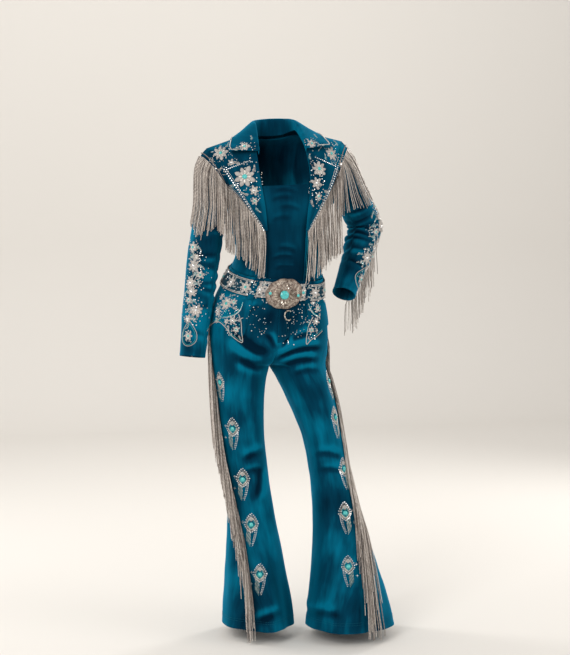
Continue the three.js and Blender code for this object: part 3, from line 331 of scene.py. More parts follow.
def cloth(name, points, facing, thick=2.0, relief=0.0, lift=0.0, keep=None, round_=False, fold=0.0):
    """A panel of cloth on a grid of places, rows from low to high, with two faces and turned edges. A lifted
    panel lies on the one below; the others reach inwards from their surface. fold is painted shade and light
    in the pile's colour, darker in a crease and paler on a ridge, -1 to 1."""
    normals = normals_of(points, facing, round_)
    outer = points + normals * np.asarray(relief + np.zeros(points.shape[:2]))[..., None]
    normals = normals_of(outer, facing, round_)
    top = outer + normals * (lift + thick if lift else 0)
    under = outer + normals * (lift if lift else -thick)
    if keep is not None:
        top, under = keep(top), keep(under)
    rows, cols = points.shape[:2]
    wide = cols if round_ else cols - 1
    ring = np.concatenate([top, top[:, :1]], 1) if round_ else top
    across = lengths(ring, 1)
    across -= across[:, wide // 2][:, None]
    spot = np.stack([across, lengths(ring, 0)], -1) * 0.001
    j, i = (g.ravel() for g in np.meshgrid(np.arange(rows - 1), np.arange(wide), indexing="ij"))
    span, tall = np.arange(wide), np.arange(rows - 1)
    quads = [
        [(1, j, i), (1, j, i + 1), (1, j + 1, i + 1), (1, j + 1, i)],
        [(0, j, i), (0, j + 1, i), (0, j + 1, i + 1), (0, j, i + 1)],
        [(0, 0, span), (0, 0, span + 1), (1, 0, span + 1), (1, 0, span)],
        [(0, rows - 1, span), (1, rows - 1, span), (1, rows - 1, span + 1), (0, rows - 1, span + 1)],
    ]
    if not round_:
        quads.append([(0, tall, 0), (1, tall, 0), (1, tall + 1, 0), (0, tall + 1, 0)])
        quads.append([(0, tall, wide), (0, tall + 1, wide), (1, tall + 1, wide), (1, tall, wide)])
    faces, uv = [], []
    for corners in quads:
        even = 0 * (corners[0][1] + corners[0][2])
        faces.append(np.stack([(face * rows + j) * cols + i % cols + even for face, j, i in corners], -1))
        uv.append(np.stack([spot[j + even, i + even] for _, j, i in corners], 1))
    points = np.concatenate([under.reshape(-1, 3), top.reshape(-1, 3)])
    made = mesh_from(name + "_cloth", points, np.concatenate(faces), np.concatenate(uv))
    # fold: painted shade in creases and painted highlight on ridges, kept on each place for the velvet's
    # colour.
    fold = np.tile(np.clip(fold + np.zeros((rows, cols)), -1, 1).ravel(), 2)
    made.data.attributes.new("fold", "FLOAT", "POINT").data.foreach_set("value", fold.astype(np.float32))
    PANELS[name] = {"top": top, "normal": normals_of(top, facing, round_), "object": made}
    return made


def shader_of(name):
    made = bpy.data.materials.new(name)
    made.use_nodes = True
    return made, made.node_tree, made.node_tree.nodes["Principled BSDF"]


def feed(tree, made, **sockets):
    """Links or sets a node's inputs, by name or by number: _0, _1 and so on."""
    for key, value in sockets.items():
        socket = made.inputs[int(key[1:])] if key[0] == "_" else made.inputs[key.replace("_", " ")]
        if isinstance(value, bpy.types.NodeSocket):
            tree.links.new(value, socket)
        else:
            socket.default_value = value
    return made


def node(tree, kind, at=None, **sockets):
    made = tree.nodes.new("ShaderNode" + kind)
    for key, value in (at or {}).items():
        setattr(made, key, value)
    return feed(tree, made, **sockets)


def mixed(tree, share, one, other):
    """A number between two others."""
    return node(tree, "Mix", {"data_type": "FLOAT"}, _0=share, _2=one, _3=other).outputs[0]


def tinted(tree, share, one, other):
    """A colour between two others."""
    one, other = ((*colour, 1) if isinstance(colour, tuple) else colour for colour in (one, other))
    return node(tree, "Mix", {"data_type": "RGBA"}, _0=share, _6=one, _7=other).outputs[2]


def bumped(tree, height, strength, distance):
    return node(tree, "Bump", Height=height, Strength=strength, Distance=distance).outputs[0]


def shader_group(name, sockets):
    """An empty group of shader nodes with its sockets, and the nodes at its two ends."""
    group = bpy.data.node_groups.new(name, "ShaderNodeTree")
    for socket, kind, way in sockets:
        group.interface.new_socket(name=socket, in_out=way, socket_type="NodeSocket" + kind)
    return group, group.nodes.new("NodeGroupInput"), group.nodes.new("NodeGroupOutput")


def pile_group():
    """Brushed pile: slow patches where the nap lies another way, streaks down the cloth, and a fine grain."""
    inward = [("Cut", "Vector", "INPUT"), ("Place", "Vector", "INPUT")]
    outward = [("Nap", "Float", "OUTPUT"), ("Grain", "Float", "OUTPUT")]
    group, source, sink = shader_group("velvet_pile", inward + outward)
    patches = node(group, "TexNoise", Vector=source.outputs["Place"], Scale=7.0, Detail=2.0, Roughness=0.45)
    stretch = node(group, "Mapping", Vector=source.outputs["Cut"], Scale=(26, 5, 1))
    streaks = node(group, "TexNoise", Vector=stretch.outputs[0], Scale=1.0, Detail=3.0, Roughness=0.6)
    both = mixed(group, 0.42, patches.outputs[0], streaks.outputs[0])
    pull = node(group, "MapRange", Value=both, From_Min=0.34, From_Max=0.66)
    grain = node(group, "TexNoise", Vector=source.outputs["Cut"], Scale=900.0, Detail=1.0)
    feed(group, sink, Nap=pull.outputs[0], Grain=grain.outputs[0])
    return group


PILE = pile_group()


def velvet(name, dark, mid, light, sheen=0.5):
    made, tree, shader = shader_of(name)
    place = node(tree, "TexCoord")
    cut = node(tree, "UVMap", {"uv_map": "cut"})
    pile = tree.nodes.new("ShaderNodeGroup")
    pile.node_tree = PILE
    feed(tree, pile, Cut=cut.outputs[0], Place=place.outputs["Object"])
    # The stored fold adds painted shade in creases and a painted highlight on ridges to the nap's tone.
    painted_fold_light = node(tree, "Attribute", {"attribute_name": "fold"}).outputs["Fac"]
    lay = node(tree, "Math", {"operation": "MULTIPLY_ADD"}, _0=painted_fold_light, _1=0.75, _2=pile.outputs["Nap"])
    ramp = node(tree, "ValToRGB", Fac=lay.outputs[0])
    ramp.color_ramp.elements[0].color = (*dark, 1)
    ramp.color_ramp.elements[1].color = (*light, 1)
    ramp.color_ramp.elements.new(0.5).color = (*mid, 1)
    # Painted sheen: the base colour grows paler, toward 1.9 times the light colour, where the cloth turns
    # away from the view.
    edge = node(tree, "LayerWeight", Blend=0.42).outputs["Facing"]
    painted_sheen = node(tree, "MapRange", Value=edge, From_Min=0.15, From_Max=0.9, To_Min=0.0, To_Max=0.6)
    feed(
        tree,
        shader,
        Base_Color=tinted(tree, painted_sheen.outputs[0], ramp.outputs[0], tuple(1.9 * c for c in light)),
        Roughness=node(tree, "MapRange", Value=pile.outputs["Nap"], To_Min=0.78, To_Max=0.6).outputs[0],
        Normal=bumped(tree, pile.outputs["Grain"], 0.25, 0.0006),
        Sheen_Weight=sheen,
        Sheen_Roughness=0.3,
        Sheen_Tint=(0.0, 0.36, 0.62, 1),
        Specular_IOR_Level=0.02,
    )
    return made


VELVET = velvet("teal_velvet", (0.0, 0.011, 0.026), (0.0, 0.036, 0.072), (0.0, 0.125, 0.215))


def sew(name, material):
    """Gives a panel its cloth, sets it on the body and hides the solid that it stands for."""
    piece, top = PANELS[name]["object"], PANELS[name]["top"] * 0.001
    piece.data.materials.append(material)
    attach(piece, "root")
    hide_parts(name)


THIGH_FOLDS = [
    (-42, 864, -156, 940, 14, 7.0), (-38, 826, -150, 862, 11, 3.6), (-60, 930, -26, 880, 8, 3.4),
    (-22, 850, 128, 882, 10, 8.0), (-16, 822, 118, 846, 10, 4.4), (20, 905, 138, 924, 9, 2.8),
    (14, 930, -10, 876, 7, 3.0), (30, 800, 120, 812, 9, 2.2), (-70, 530, -82, 420, 12, 3.4),
    (-120, 545, -40, 566, 11, 3.0), (-116, 505, -50, 512, 8, 2.0), (104, 560, 190, 544, 10, 2.8),
    (112, 510, 200, 500, 8, 2.0), (-96, 62, -8, 92, 11, 3.6), (60, 70, 150, 96, 11, 2.6),
    (-126, 975, -70, 1012, 8, 1.8), (60, 1012, 110, 974, 8, 1.8),
]  # fmt: skip
SEAT_FOLDS = [
    (-150, 830, -40, 800, 9, 4.5), (-140, 795, -50, 770, 9, 3.0), (20, 795, 130, 826, 9, 4.5),
    (40, 768, 140, 792, 9, 3.0), (-120, 500, -40, 520, 10, 2.6), (-116, 470, -44, 480, 9, 2.0),
    (120, 525, 205, 505, 10, 2.6), (130, 485, 208, 470, 9, 2.0), (-90, 1010, -30, 985, 9, 2.0),
    (0, 985, 60, 1008, 9, 2.0),
]  # fmt: skip


def trouser_panel(name, front):
    spans = (HEM, 790, steps(750, 6)), (793, 900, steps(107, 3)), (904, PANEL_TOP, steps(146, 5))
    heights = np.concatenate([np.linspace(*span) for span in spans])
    seam = row_at_height(LEGS[name], heights)["seam"][:, None]
    lane = np.linspace(0, 1, steps(250, 6))[None, :]
    cut = 0.0007
    way = mix(seam + cut, 1 - cut, lane) if front else mix(-1 + cut, seam - cut, lane)
    points = leg(name, way, heights[:, None] + 0 * lane)
    folds = creases(points, THIGH_FOLDS if front else SEAT_FOLDS, -1 if front else 1)
    edge = ease(lane / 0.06) * ease((1 - lane) / 0.06)
    waves = ease((520 - heights[:, None]) / 520) * np.sin(2 * np.pi * (1.7 * lane + 0.3 * SIDES[name])) * 3.0
    below = ease((PANEL_TOP - heights[:, None]) / 30)
    relief = (folds + waves + softness(points, 1.1, 3 if front else 4)) * edge * below
    piece = f"trouser_{'front' if front else 'back'}_{name}"
    # The folds also paint the velvet: painted shade in their troughs, painted highlight on their ridges.
    cloth(piece, points, -SIDES[name], relief=relief, fold=folds / 3.4)
    sew(piece, VELVET)


for side_name in SIDES:
    for in_front in (True, False):
        trouser_panel(side_name, in_front)

# ---- Waistband, western pockets and fly ------
# A straight velvet band closes the top of the trousers, sewn on all round and held by the belt's loops. Two
# pointed pocket pieces are topstitched over the hips, and the fly's lap covers a hidden zip.
WAIST = 1112


def waist_ring(s, height):
    """Once round from the centre front, the wearer's left side first."""
    s = np.mod(s, 1)
    s, height = np.broadcast_arrays(s, height)
    left = s < 0.5
    share = np.where(left, 2 * s, 2 * (1 - s))
    way = 1 - 2 * share
    points = np.where(left[..., None], leg("left", way, height), leg("right", way, height))
    middle = np.abs(np.abs(1 - 2 * share) - 1) < 1e-6
    points[..., 0] = np.where(middle, row_at_height(POSTURE, height)["shift"], points[..., 0])
    return points


round_about = np.arange(steps(820, 4) // 2 * 2) / (steps(820, 4) // 2 * 2)
levels = np.linspace(PANEL_TOP + 0.6, WAIST, steps(62, 5))[:, None]
cloth("waistband", waist_ring(round_about[None, :], levels), 1, round_=True)
sew("waistband", VELVET)


def way_at(name, x, height):
    """The way round a leg in front at which it stands x out from the middle."""
    x, height = np.broadcast_arrays(np.asarray(x, float), np.asarray(height, float))
    shift = row_at_height(POSTURE, height)["shift"]
    low, high = np.zeros(x.shape), np.ones(x.shape)
    for _ in range(22):
        middle = (low + high) / 2
        wide = (leg(name, middle, height)[..., 0] - shift) * SIDES[name] > x
        low, high = np.where(wide, middle, low), np.where(wide, high, middle)
    return (low + high) / 2


def hip(name, x, height):
    return leg(name, way_at(name, x, height), height)


POCKET = table(
    "x low high",
    (84, 1038, 1042), (92, 958, 1042), (104, 922, 1042), (124, 944, 1042), (146, 962, 1042),
    (166, 968, 1042),
)  # fmt: skip
for side_name, side in SIDES.items():
    lane = np.linspace(0, 1, steps(110, 4))[None, :]
    shape = row_at(POCKET, lane * 5)
    level = mix(shape["low"], shape["high"], np.linspace(0, 1, steps(90, 4))[:, None])
    outer = 2 * row_at_height(LEGS[side_name], level)["out"] - 4
    points = hip(side_name, mix(84, outer, (shape["x"] - 84) / 82), level)
    rise = creases(points, THIGH_FOLDS, -1)
    cloth(f"pocket_{side_name}", points, side, thick=1.5, lift=1.6, relief=rise)
    sew(f"pocket_{side_name}", VELVET)

FLY = {"width": 34, "low": 908, "high": 1042}
lane = np.linspace(0, 1, steps(34, 3))[None, :]
level = mix(FLY["low"] + 22 * lane**2, FLY["high"], np.linspace(0, 1, steps(134, 4))[:, None])
points = hip("left", mix(0.4, FLY["width"], lane), level)
cloth("fly", points, 1, thick=1.1, lift=0.8)
sew("fly", VELVET)

# ---- Belt and its loops ------
# A broad strap, faced with teal satin stitch over leather and edged with silver cord, goes once round the
# waist under five velvet loops, each sewn to the waistband at both ends.
BELT = {"low": 1054, "high": 1104, "lift": 1.0, "thick": 3.0}


def satin(name, colour, light, roughness=0.45):
    """Close-laid shiny thread in upright ribs."""
    made, tree, shader = shader_of(name)
    cut = node(tree, "UVMap", {"uv_map": "cut"})
    place = node(tree, "TexCoord")
    ribs = node(tree, "TexWave", Vector=cut.outputs[0], Scale=190.0, Distortion=1.2, Detail=2.0)
    spots = node(tree, "TexNoise", Vector=place.outputs["Object"], Scale=60.0, Detail=3.0)
    share = mixed(tree, 0.5, ribs.outputs["Fac"], spots.outputs[0])
    normal = bumped(tree, ribs.outputs["Fac"], 0.35, 0.0004)
    feed(tree, shader, Base_Color=tinted(tree, share, colour, light), Normal=normal)
    feed(tree, shader, Roughness=roughness, Specular_IOR_Level=0.12)
    return made


STRAP = satin("teal_satin_strap", (0.0, 0.014, 0.03), (0.001, 0.06, 0.10), 0.6)
levels = np.linspace(BELT["low"], BELT["high"], steps(50, 5))[:, None]
ring = waist_ring(round_about[None, :], levels)
out = normals_of(ring, 1, True)
cloth("belt", ring + out * BELT["lift"], 1, thick=BELT["thick"], lift=0.01, round_=True)
sew("belt", STRAP)

LOOP_HALF = 6.5 / 800
over = BELT["lift"] + BELT["thick"] + 1.2
LOOP_ROWS = [(1044.5, 0.6), (1051.5, over), (1068, over), (1090, over), (1106.5, over), (WAIST - 0.5, 0.6)]
LOOPS = {"front_right": 0.862, "front_left": 0.127, "side_right": 0.665, "side_left": 0.335, "back": 0.5}
for name, at in LOOPS.items():
    course = np.linspace(0, 5, 26)
    heights = np.interp(course, range(6), [row[0] for row in LOOP_ROWS])[:, None]
    rise = np.interp(course, range(6), [row[1] for row in LOOP_ROWS])[:, None]
    lane = at + np.linspace(-LOOP_HALF, LOOP_HALF, 7)[None, :]
    points = waist_ring(lane, heights)
    crown = 0.5 * (1 - np.linspace(-1, 1, 7) ** 4)[None, :]
    points = points + normals_of(points, 1) * (rise + crown)[..., None]
    cloth(f"belt_loop_{name}", points, 1, thick=2.0, lift=0.01)
    sew(f"belt_loop_{name}", VELVET)

# ---- Tube top ------
# A plain strapless top of the same velvet, cut straight across the chest and tucked into the trousers. Its
# two halves are sewn at the sides, and it is held up by elastic in the top edge.
TORSO = table(
    "height wide front back armhole edge slope",
    (1060, 150, 108, 102, 150, 58, 0), (1108, 139, 106, 98, 139, 58, 0),
    (1156, 131, 101, 89, 131, 58, 0), (1206, 136, 106, 91, 136, 59, 0),
    (1256, 145, 116, 98, 145, 62, 0), (1300, 152, 125, 104, 152, 66, 0),
    (1336, 159, 127, 107, 150, 71, 0.04), (1380, 169, 121, 107, 158, 76, 0.18),
    (1426, 184, 101, 100, 172, 77, 0.45), (1466, 199, 72, 83, 188, 75, 0.75),
    (1497, 211, 36, 50, 203, 71, 0.95), (1510, 216, 0.3, 0.3, 213, 67, 1),
)  # fmt: skip
SQUARE = 2.4  # exponent of the torso's rounded section


def power(value, exponent):
    return np.sign(value) * np.abs(value) ** exponent


def torso(angle, index):
    """A place on the chest and back: angle 0 is the centre front, a quarter turn the wearer's left side."""
    angle, index = np.broadcast_arrays(np.asarray(angle, float), np.asarray(index, float))
    r = row_at(TORSO, index)
    x = r["wide"] * power(np.sin(angle), 2 / SQUARE)
    y = -np.where(np.cos(angle) > 0, r["front"], r["back"]) * power(np.cos(angle), 2 / SQUARE)
    fall = 24 - 0.29 * np.maximum(np.abs(x) - 66, 0)
    return stand(x, y, r["height"] + r["slope"] * fall)


def side_angle(x, wide):
    return np.arcsin(np.clip(x / wide, -1, 1) ** (SQUARE / 2))


def torso_at(x, index, behind=False):
    x, index = np.broadcast_arrays(np.asarray(x, float), np.asarray(index, float))
    angle = np.sign(x) * side_angle(np.abs(x), row_at(TORSO, index)["wide"])
    return torso(np.where(behind, np.pi - angle, angle), index)


def in_front(points):
    return np.stack([points[..., 0], np.minimum(points[..., 1], -0.15), points[..., 2]], -1)


def behind_seam(points):
    return np.stack([points[..., 0], np.maximum(points[..., 1], 0.15), points[..., 2]], -1)


def swell(points, x, z, wide, tall):
    """A soft round rise with its middle at x and z."""
    return np.exp(-(((points[..., 0] - x) / wide) ** 2) - ((points[..., 2] - z) / tall) ** 2)


CUT = 0.0012
STRETCH = velvet("teal_stretch_velvet", (0.0, 0.015, 0.033), (0.0, 0.026, 0.053), (0.0, 0.05, 0.095), 0.6)
TOP_FOLDS = [
    (-38, 1352, 44, 1344, 5, 1.2), (-44, 1322, 30, 1330, 6, 1.3), (-20, 1302, 52, 1292, 6, 1.2),
    (-40, 1262, 26, 1268, 7, 1.0), (-20, 1180, 46, 1168, 6, 1.6), (-36, 1148, 40, 1152, 5, 1.8),
    (-28, 1122, 46, 1118, 5, 1.8),
]  # fmt: skip
for name, behind in (("top_front", False), ("top_back", True)):
    angle = np.linspace(-np.pi / 2 + CUT, np.pi / 2 - CUT, steps(430, 5))[None, :]
    level = ease((np.abs(angle) - 0.7) / 0.85)
    high = 1290 + 14 * np.cos(angle) if behind else mix(1366, 1290, level)
    share = np.linspace(0, 1, steps(280, 5))[:, None]
    index = index_at(TORSO, mix(1084 + 0 * angle, high, share))
    points = torso(np.pi - angle if behind else angle, index)
    facing = -1 if behind else 1
    tuck = -3.8 - 7 * (1 - share) ** 1.5
    bust = 0 * points[..., 0]
    if not behind:
        for middle in (-62, 66):
            bust += 2.2 * swell(points, middle, 1312, 52, 46)
        bust -= 1.2 * swell(points, 2, 1312, 20, 50)
    rolled = 0.9 * bell((1 - share) * 280 - 5, 4)  # the elastic in the top edge
    relief = tuck + bust + rolled + creases(points, TOP_FOLDS, -1) + softness(points, 0.5, 5)
    # Painted light for the top's velvet: a painted highlight on the upper bust, painted shade towards the
    # bottom, and painted shade and highlight along the creases.
    painted_top_light = 0.34 * bust * (points[..., 2] > 1250) - 0.3 * (1 - share) + creases(points, TOP_FOLDS, -1) / 2
    cloth(name, points, facing, relief=relief, keep=behind_seam if behind else in_front, fold=painted_top_light)
    sew(name, STRETCH)

# ---- Jacket ------
# A cropped velvet jacket, worn open, cut as two fronts and a back and sewn at the shoulders and sides.
# Pointed western yokes are laid over the chest and shoulder blades and topstitched down.
ARMPIT, SHOULDER = 5, 11
HEM_ROW = float(index_at(TORSO, 1112))


def armhole_angle(index):
    r = row_at(TORSO, index)
    return np.where(index <= ARMPIT, np.pi / 2, side_angle(np.minimum(r["armhole"], r["wide"]), r["wide"]))


def front_point(side, s, index):
    s, index = np.broadcast_arrays(np.asarray(s, float), np.asarray(index, float))
    r = row_at(TORSO, index)
    return torso(side * mix(side_angle(r["edge"], r["wide"]), armhole_angle(index) - CUT, s), index)


def back_top(across):
    y = 58 * np.sqrt(np.maximum(1 - (across / 72) ** 2, 0))
    return SHOULDER - np.where(y < 50, y / 50, 1 + (y - 50) / 33)


def back_point(s, index):
    s, index = np.broadcast_arrays(np.asarray(s, float), np.asarray(index, float))
    return torso(np.pi - (2 * s - 1) * (armhole_angle(index) - CUT), index)


def back_row(s, t):
    return mix(HEM_ROW, back_top((2 * s - 1) * 213), t)


CHEST_FOLDS = [
    (-150, 1318, -96, 1250, 8, 2.2), (-146, 1290, -88, 1210, 8, 1.8), (-140, 1236, -80, 1176, 8, 1.8),
    (-84, 1196, -72, 1124, 6, 1.6), (-118, 1180, -104, 1120, 7, 1.4), (100, 1250, 150, 1322, 8, 2.2),
    (92, 1206, 148, 1286, 8, 1.8), (86, 1168, 142, 1232, 8, 1.8), (80, 1124, 92, 1200, 6, 1.6),
]  # fmt: skip
BACK_FOLDS = [
    (-150, 1330, -60, 1290, 9, 2.6), (-146, 1290, -50, 1240, 9, 2.2), (-130, 1190, -40, 1170, 8, 2.6),
    (-120, 1150, -50, 1140, 7, 2.0), (60, 1290, 152, 1336, 9, 2.6), (50, 1240, 150, 1296, 9, 2.2),
    (44, 1168, 136, 1196, 8, 2.6), (52, 1138, 126, 1152, 7, 2.0),
]  # fmt: skip
for side_name, side in SIDES.items():
    s, t = shares(steps(170, 4), steps(440, 5))
    points = front_point(side, s, mix(HEM_ROW, SHOULDER, t))
    edge = ease(t / 0.05) * ease((1 - t) / 0.06) * ease((1 - s) / 0.08)
    relief = (creases(points, CHEST_FOLDS, -1) + softness(points, 0.7, 8)) * edge
    hemmed = 0.7 * bell(t * 420 - 4, 4) + 0.6 * bell(s * 150 - 3, 3)
    # fold paints the relief into the velvet's colour: painted shade in hollows and creases, painted highlight
    # on rises.
    cloth(f"jacket_front_{side_name}", points, side, relief=relief + hemmed, keep=in_front, fold=relief / 4)
    sew(f"jacket_front_{side_name}", VELVET)
s, t = shares(steps(440, 5), steps(430, 5))
points = back_point(s, back_row(s, t))
edge = ease(t / 0.05) * ease((1 - t) / 0.06) * ease(s / 0.04) * ease((1 - s) / 0.04)
relief = (creases(points, BACK_FOLDS, 1) + softness(points, 0.9, 9)) * edge
rolled = 0.7 * bell(t * 420 - 4, 4)
# fold paints the relief into the velvet's colour: painted shade in hollows and creases, painted highlight on
# rises.
cloth("jacket_back", points, -1, relief=relief + rolled, keep=behind_seam, fold=relief / 4)
sew("jacket_back", VELVET)

LAPEL = {"low": 1236, "notch": 1452, "peak": 1416, "reach": 180, "root": 64, "flat": 104, "lift": 2.8}
LAPEL_BOW = 0.92


def lapel_edge(height):
    share = np.clip((height - LAPEL["low"]) / (LAPEL["peak"] - LAPEL["low"]), 0, 1)
    return LAPEL["root"] + (LAPEL["reach"] - LAPEL["root"]) * share**LAPEL_BOW


def yoke_line(x):
    share = (np.maximum(x, 66) - LAPEL["root"]) / (LAPEL["reach"] - LAPEL["root"])
    return LAPEL["low"] - 4 + (LAPEL["peak"] - LAPEL["low"]) * share ** (1 / LAPEL_BOW)


def back_yoke_line(across):
    return 1318 + 0.42 * np.abs(across) - 6 * bell(across, 30)


def crossing(point, s, line):
    """The row at which a column of the panel crosses a line drawn by its distance from the middle."""
    index = 5 + 0 * s
    for _ in range(6):
        shift = row_at_height(POSTURE, row_at(TORSO, index)["height"])["shift"]
        index = index_at(TORSO, line(np.abs(point(s, index)[..., 0] - shift)))
    return index


for side_name, side in SIDES.items():
    s = 0.985 * np.linspace(0, 1, steps(160, 4))
    low = crossing(lambda a, b: front_point(side, a, b), s, yoke_line)
    t = np.linspace(0, 1, steps(300, 5))[:, None]
    points = front_point(side, s[None, :], np.maximum(mix(low[None, :], SHOULDER, t), low[None, :]))
    relief = creases(points, CHEST_FOLDS, -1) * 0.5
    cloth(f"yoke_front_{side_name}", points, side, thick=1.5, lift=0.7, relief=relief, keep=in_front)
    sew(f"yoke_front_{side_name}", VELVET)
s = 0.5 + 0.985 * (np.linspace(0, 1, steps(400, 5)) - 0.5)
low = crossing(back_point, s, back_yoke_line)
t = np.linspace(0, 1, steps(200, 5))[:, None]
points = back_point(s[None, :], mix(low[None, :], back_row(s, 1.0)[None, :], t))
relief = creases(points, BACK_FOLDS, 1) * 0.5
cloth("yoke_back", points, -1, thick=1.5, lift=0.7, relief=relief, keep=behind_seam)
sew("yoke_back", VELVET)

# ---- Lapels and collar ------
# The fronts fold back as broad pointed lapels, faced with the same velvet. The collar is cut in one with its
# stand, turned over at the neck, and sewn to the neckline and to the lapels below the notch.
for side_name, side in SIDES.items():
    s, t = shares(steps(120, 4), steps(240, 4))
    height = mix(LAPEL["low"], mix(LAPEL["notch"], LAPEL["peak"], s), t)
    index = index_at(TORSO, height)
    inner = row_at(TORSO, index)["edge"] - 0.5
    x = mix(inner, np.maximum(lapel_edge(height), inner + 3), s)
    points = torso_at(side * np.minimum(x, LAPEL["flat"]), index)
    beyond = np.maximum(x - LAPEL["flat"], 0)
    points = points + np.stack([side * beyond, 0.28 * beyond + 0.0022 * beyond**2, 0 * beyond], -1)
    roll = 1.4 * np.sin(np.pi * np.minimum(s * 1.2, 1)) - 0.8 * ease((s - 0.93) / 0.07) + 0 * t
    cloth(f"lapel_{side_name}", points, side, thick=2.0, lift=LAPEL["lift"], relief=roll)
    sew(f"lapel_{side_name}", VELVET)

# Half the collar, from the notch to the middle behind: places on its seam, its fold and its outer edge.
COLLAR = table(
    "x y z fx fy fz ox oy oz",
    (74, -92, 1464, 77, -97, 1475, 155, -74, 1479), (71, -68, 1494, 74, -74, 1511, 154, -50, 1492),
    (64, -20, 1531, 66, -22, 1554, 138, -12, 1516.4), (60, 22, 1534, 60, 18, 1567, 120, 44, 1513.4),
    (36, 50, 1526, 37, 48, 1572, 66, 88, 1490), (0, 60, 1524, 0, 58, 1574, 0, 98, 1482),
)  # fmt: skip


def collar_points(lane, t):
    """A smooth curve over the collar at each lane, from seam to edge, read at even shares of its length."""
    r = row_at(COLLAR, (1 - np.abs(lane)) * 5)
    side = np.where(lane < 0, -1, 1)
    seam = np.stack([r["x"], r["y"], r["z"]], -1)
    fold = np.stack([r["fx"], r["fy"], r["fz"]], -1)
    edge = np.stack([r["ox"], r["oy"], r["oz"]], -1)
    over = edge - fold
    over[..., 2] = 0
    over = 3.2 * unit(over)
    stops = [seam, fold - over, fold + over, mix(edge, fold, 0.45), edge]
    rows = []
    for column in np.stack(stops, 1):
        knots = np.concatenate([[0], np.cumsum(np.linalg.norm(np.diff(column, axis=0), axis=1) ** 0.5)])
        wide = np.concatenate([[2 * column[0] - column[1]], column, [2 * column[-1] - column[-2]]])
        spots = np.concatenate([[-knots[1]], knots, [2 * knots[-1] - knots[-2]]])
        fine = np.linspace(0, knots[-1], 160)
        k = np.clip(np.searchsorted(knots, fine, "right") - 1, 0, 3)
        t0, t1, t2, t3 = (spots[k + n][:, None] for n in range(4))
        p0, p1, p2, p3 = (wide[k + n] for n in range(4))
        f = fine[:, None]
        a1 = (t1 - f) / (t1 - t0) * p0 + (f - t0) / (t1 - t0) * p1
        a2 = (t2 - f) / (t2 - t1) * p1 + (f - t1) / (t2 - t1) * p2
        a3 = (t3 - f) / (t3 - t2) * p2 + (f - t2) / (t3 - t2) * p3
        b1 = (t2 - f) / (t2 - t0) * a1 + (f - t0) / (t2 - t0) * a2
        b2 = (t3 - f) / (t3 - t1) * a2 + (f - t1) / (t3 - t1) * a3
        curve = (t2 - f) / (t2 - t1) * b1 + (f - t1) / (t2 - t1) * b2
        length = lengths(curve)
        rows.append(np.stack([np.interp(t * length[-1], length, curve[:, axis]) for axis in range(3)], -1))
    points = np.stack(rows, 1)
    return stand(side[None, :] * points[..., 0], points[..., 1], points[..., 2])


lanes = np.linspace(-1, 1, 2 * steps(300, 4) - 1)
fall = np.linspace(0, 1, steps(130, 3.2))
points = collar_points(lanes, fall)
roll = 0.9 * ease((fall - 0.3) / 0.2) * np.sin(np.pi * np.clip((fall - 0.3) / 0.7, 0, 1))
cloth("collar", points, 1, thick=2.0, lift=0.01, relief=roll[:, None] + 0 * lanes[None, :])
sew("collar", VELVET)

# ---- Sleeves ------
# Two-piece sleeves, an upper over the outside of the arm and an under one inside it, set into the armholes.
# The right arm hangs and the left hand rests on the hip, so the left elbow is bent and creased.
SLEEVES = {
    "right": table(
        "x y z across deep",
        (-200, 5, 1284, 48, 58), (-212, 3, 1215, 48, 56), (-223, -1, 1140, 49, 54),
        (-233, -7, 1070, 47, 51), (-244, -14, 1000, 44, 48), (-254, -21, 928, 41, 45),
        (-262, -28, 857, 38, 42),
    ),  # fmt: skip
    "left": table(
        "x y z across deep",
        (250, 56, 1352, 52, 57), (284, 84, 1305, 53, 55), (317, 102, 1254, 52, 53),
        (301, 86, 1200, 49, 50), (275, 59, 1147, 44, 46), (247, 32, 1094, 39, 42),
        (220, 5, 1040, 36, 39),
    ),  # fmt: skip
}
CAP = 0.34
ELBOW = {"depth": 2, "count": 4, "centre": 0.66, "spread": 0.15}
# Folds across a sleeve: where along it, how far it slants round the arm, where round the arm it is deepest,
# how wide and how deep.
SLEEVE_FOLDS = {
    "right": [
        (0.40, 0.05, 0.10, 0.013, 2.6), (0.46, -0.04, 0.85, 0.014, 2.2), (0.53, 0.05, 0.20, 0.012, 2.2),
        (0.60, -0.05, 0.02, 0.012, 3.0), (0.65, 0.05, 0.05, 0.011, 3.2),
        (0.70, -0.04, 0.10, 0.011, 2.6), (0.78, 0.05, 0.30, 0.012, 1.8),
        (0.90, -0.05, 0.15, 0.012, 1.6),
    ],  # fmt: skip
    "left": [
        (0.40, 0.05, 0.15, 0.012, 2.6), (0.47, 0.05, 0.10, 0.012, 2.6),
        (0.565, -0.02, 0.03, 0.012, 5.0), (0.615, 0.02, 0.02, 0.011, 6.0), (0.66, 0.0, 0.0, 0.011, 6.0),
        (0.705, -0.02, 0.98, 0.012, 5.0), (0.765, -0.03, 0.05, 0.012, 3.4),
        (0.84, 0.04, 0.20, 0.012, 2.0),
    ],  # fmt: skip
}


def armhole(name, turn):
    upward = 1 - np.abs(2 * turn - 1)
    index = mix(ARMPIT, SHOULDER, np.abs(upward) ** 0.85)
    r = row_at(TORSO, index)
    return torso_at(SIDES[name] * np.minimum(r["armhole"], r["wide"]), index, turn > 0.5)


def sleeve_ring(name, turn, index):
    rows = SLEEVES[name]
    place = lambda at: np.stack([row_at(rows, at)[k] for k in ("x", "y", "z")], -1)
    down = unit(place(np.minimum(index + 0.05, 6)) - place(np.maximum(index - 0.05, 0)))
    inward = unit(np.cross(down, (0, -1, 0))) * SIDES[name]
    forward = unit(np.cross(inward, down))
    forward = np.where(forward[..., 1:2] > 0, -forward, forward)
    r = row_at(rows, index)
    angle = 2 * np.pi * turn
    point = place(index) + inward * (r["across"] * np.cos(angle))[..., None]
    return point + forward * (r["deep"] * np.sin(angle))[..., None], inward, down


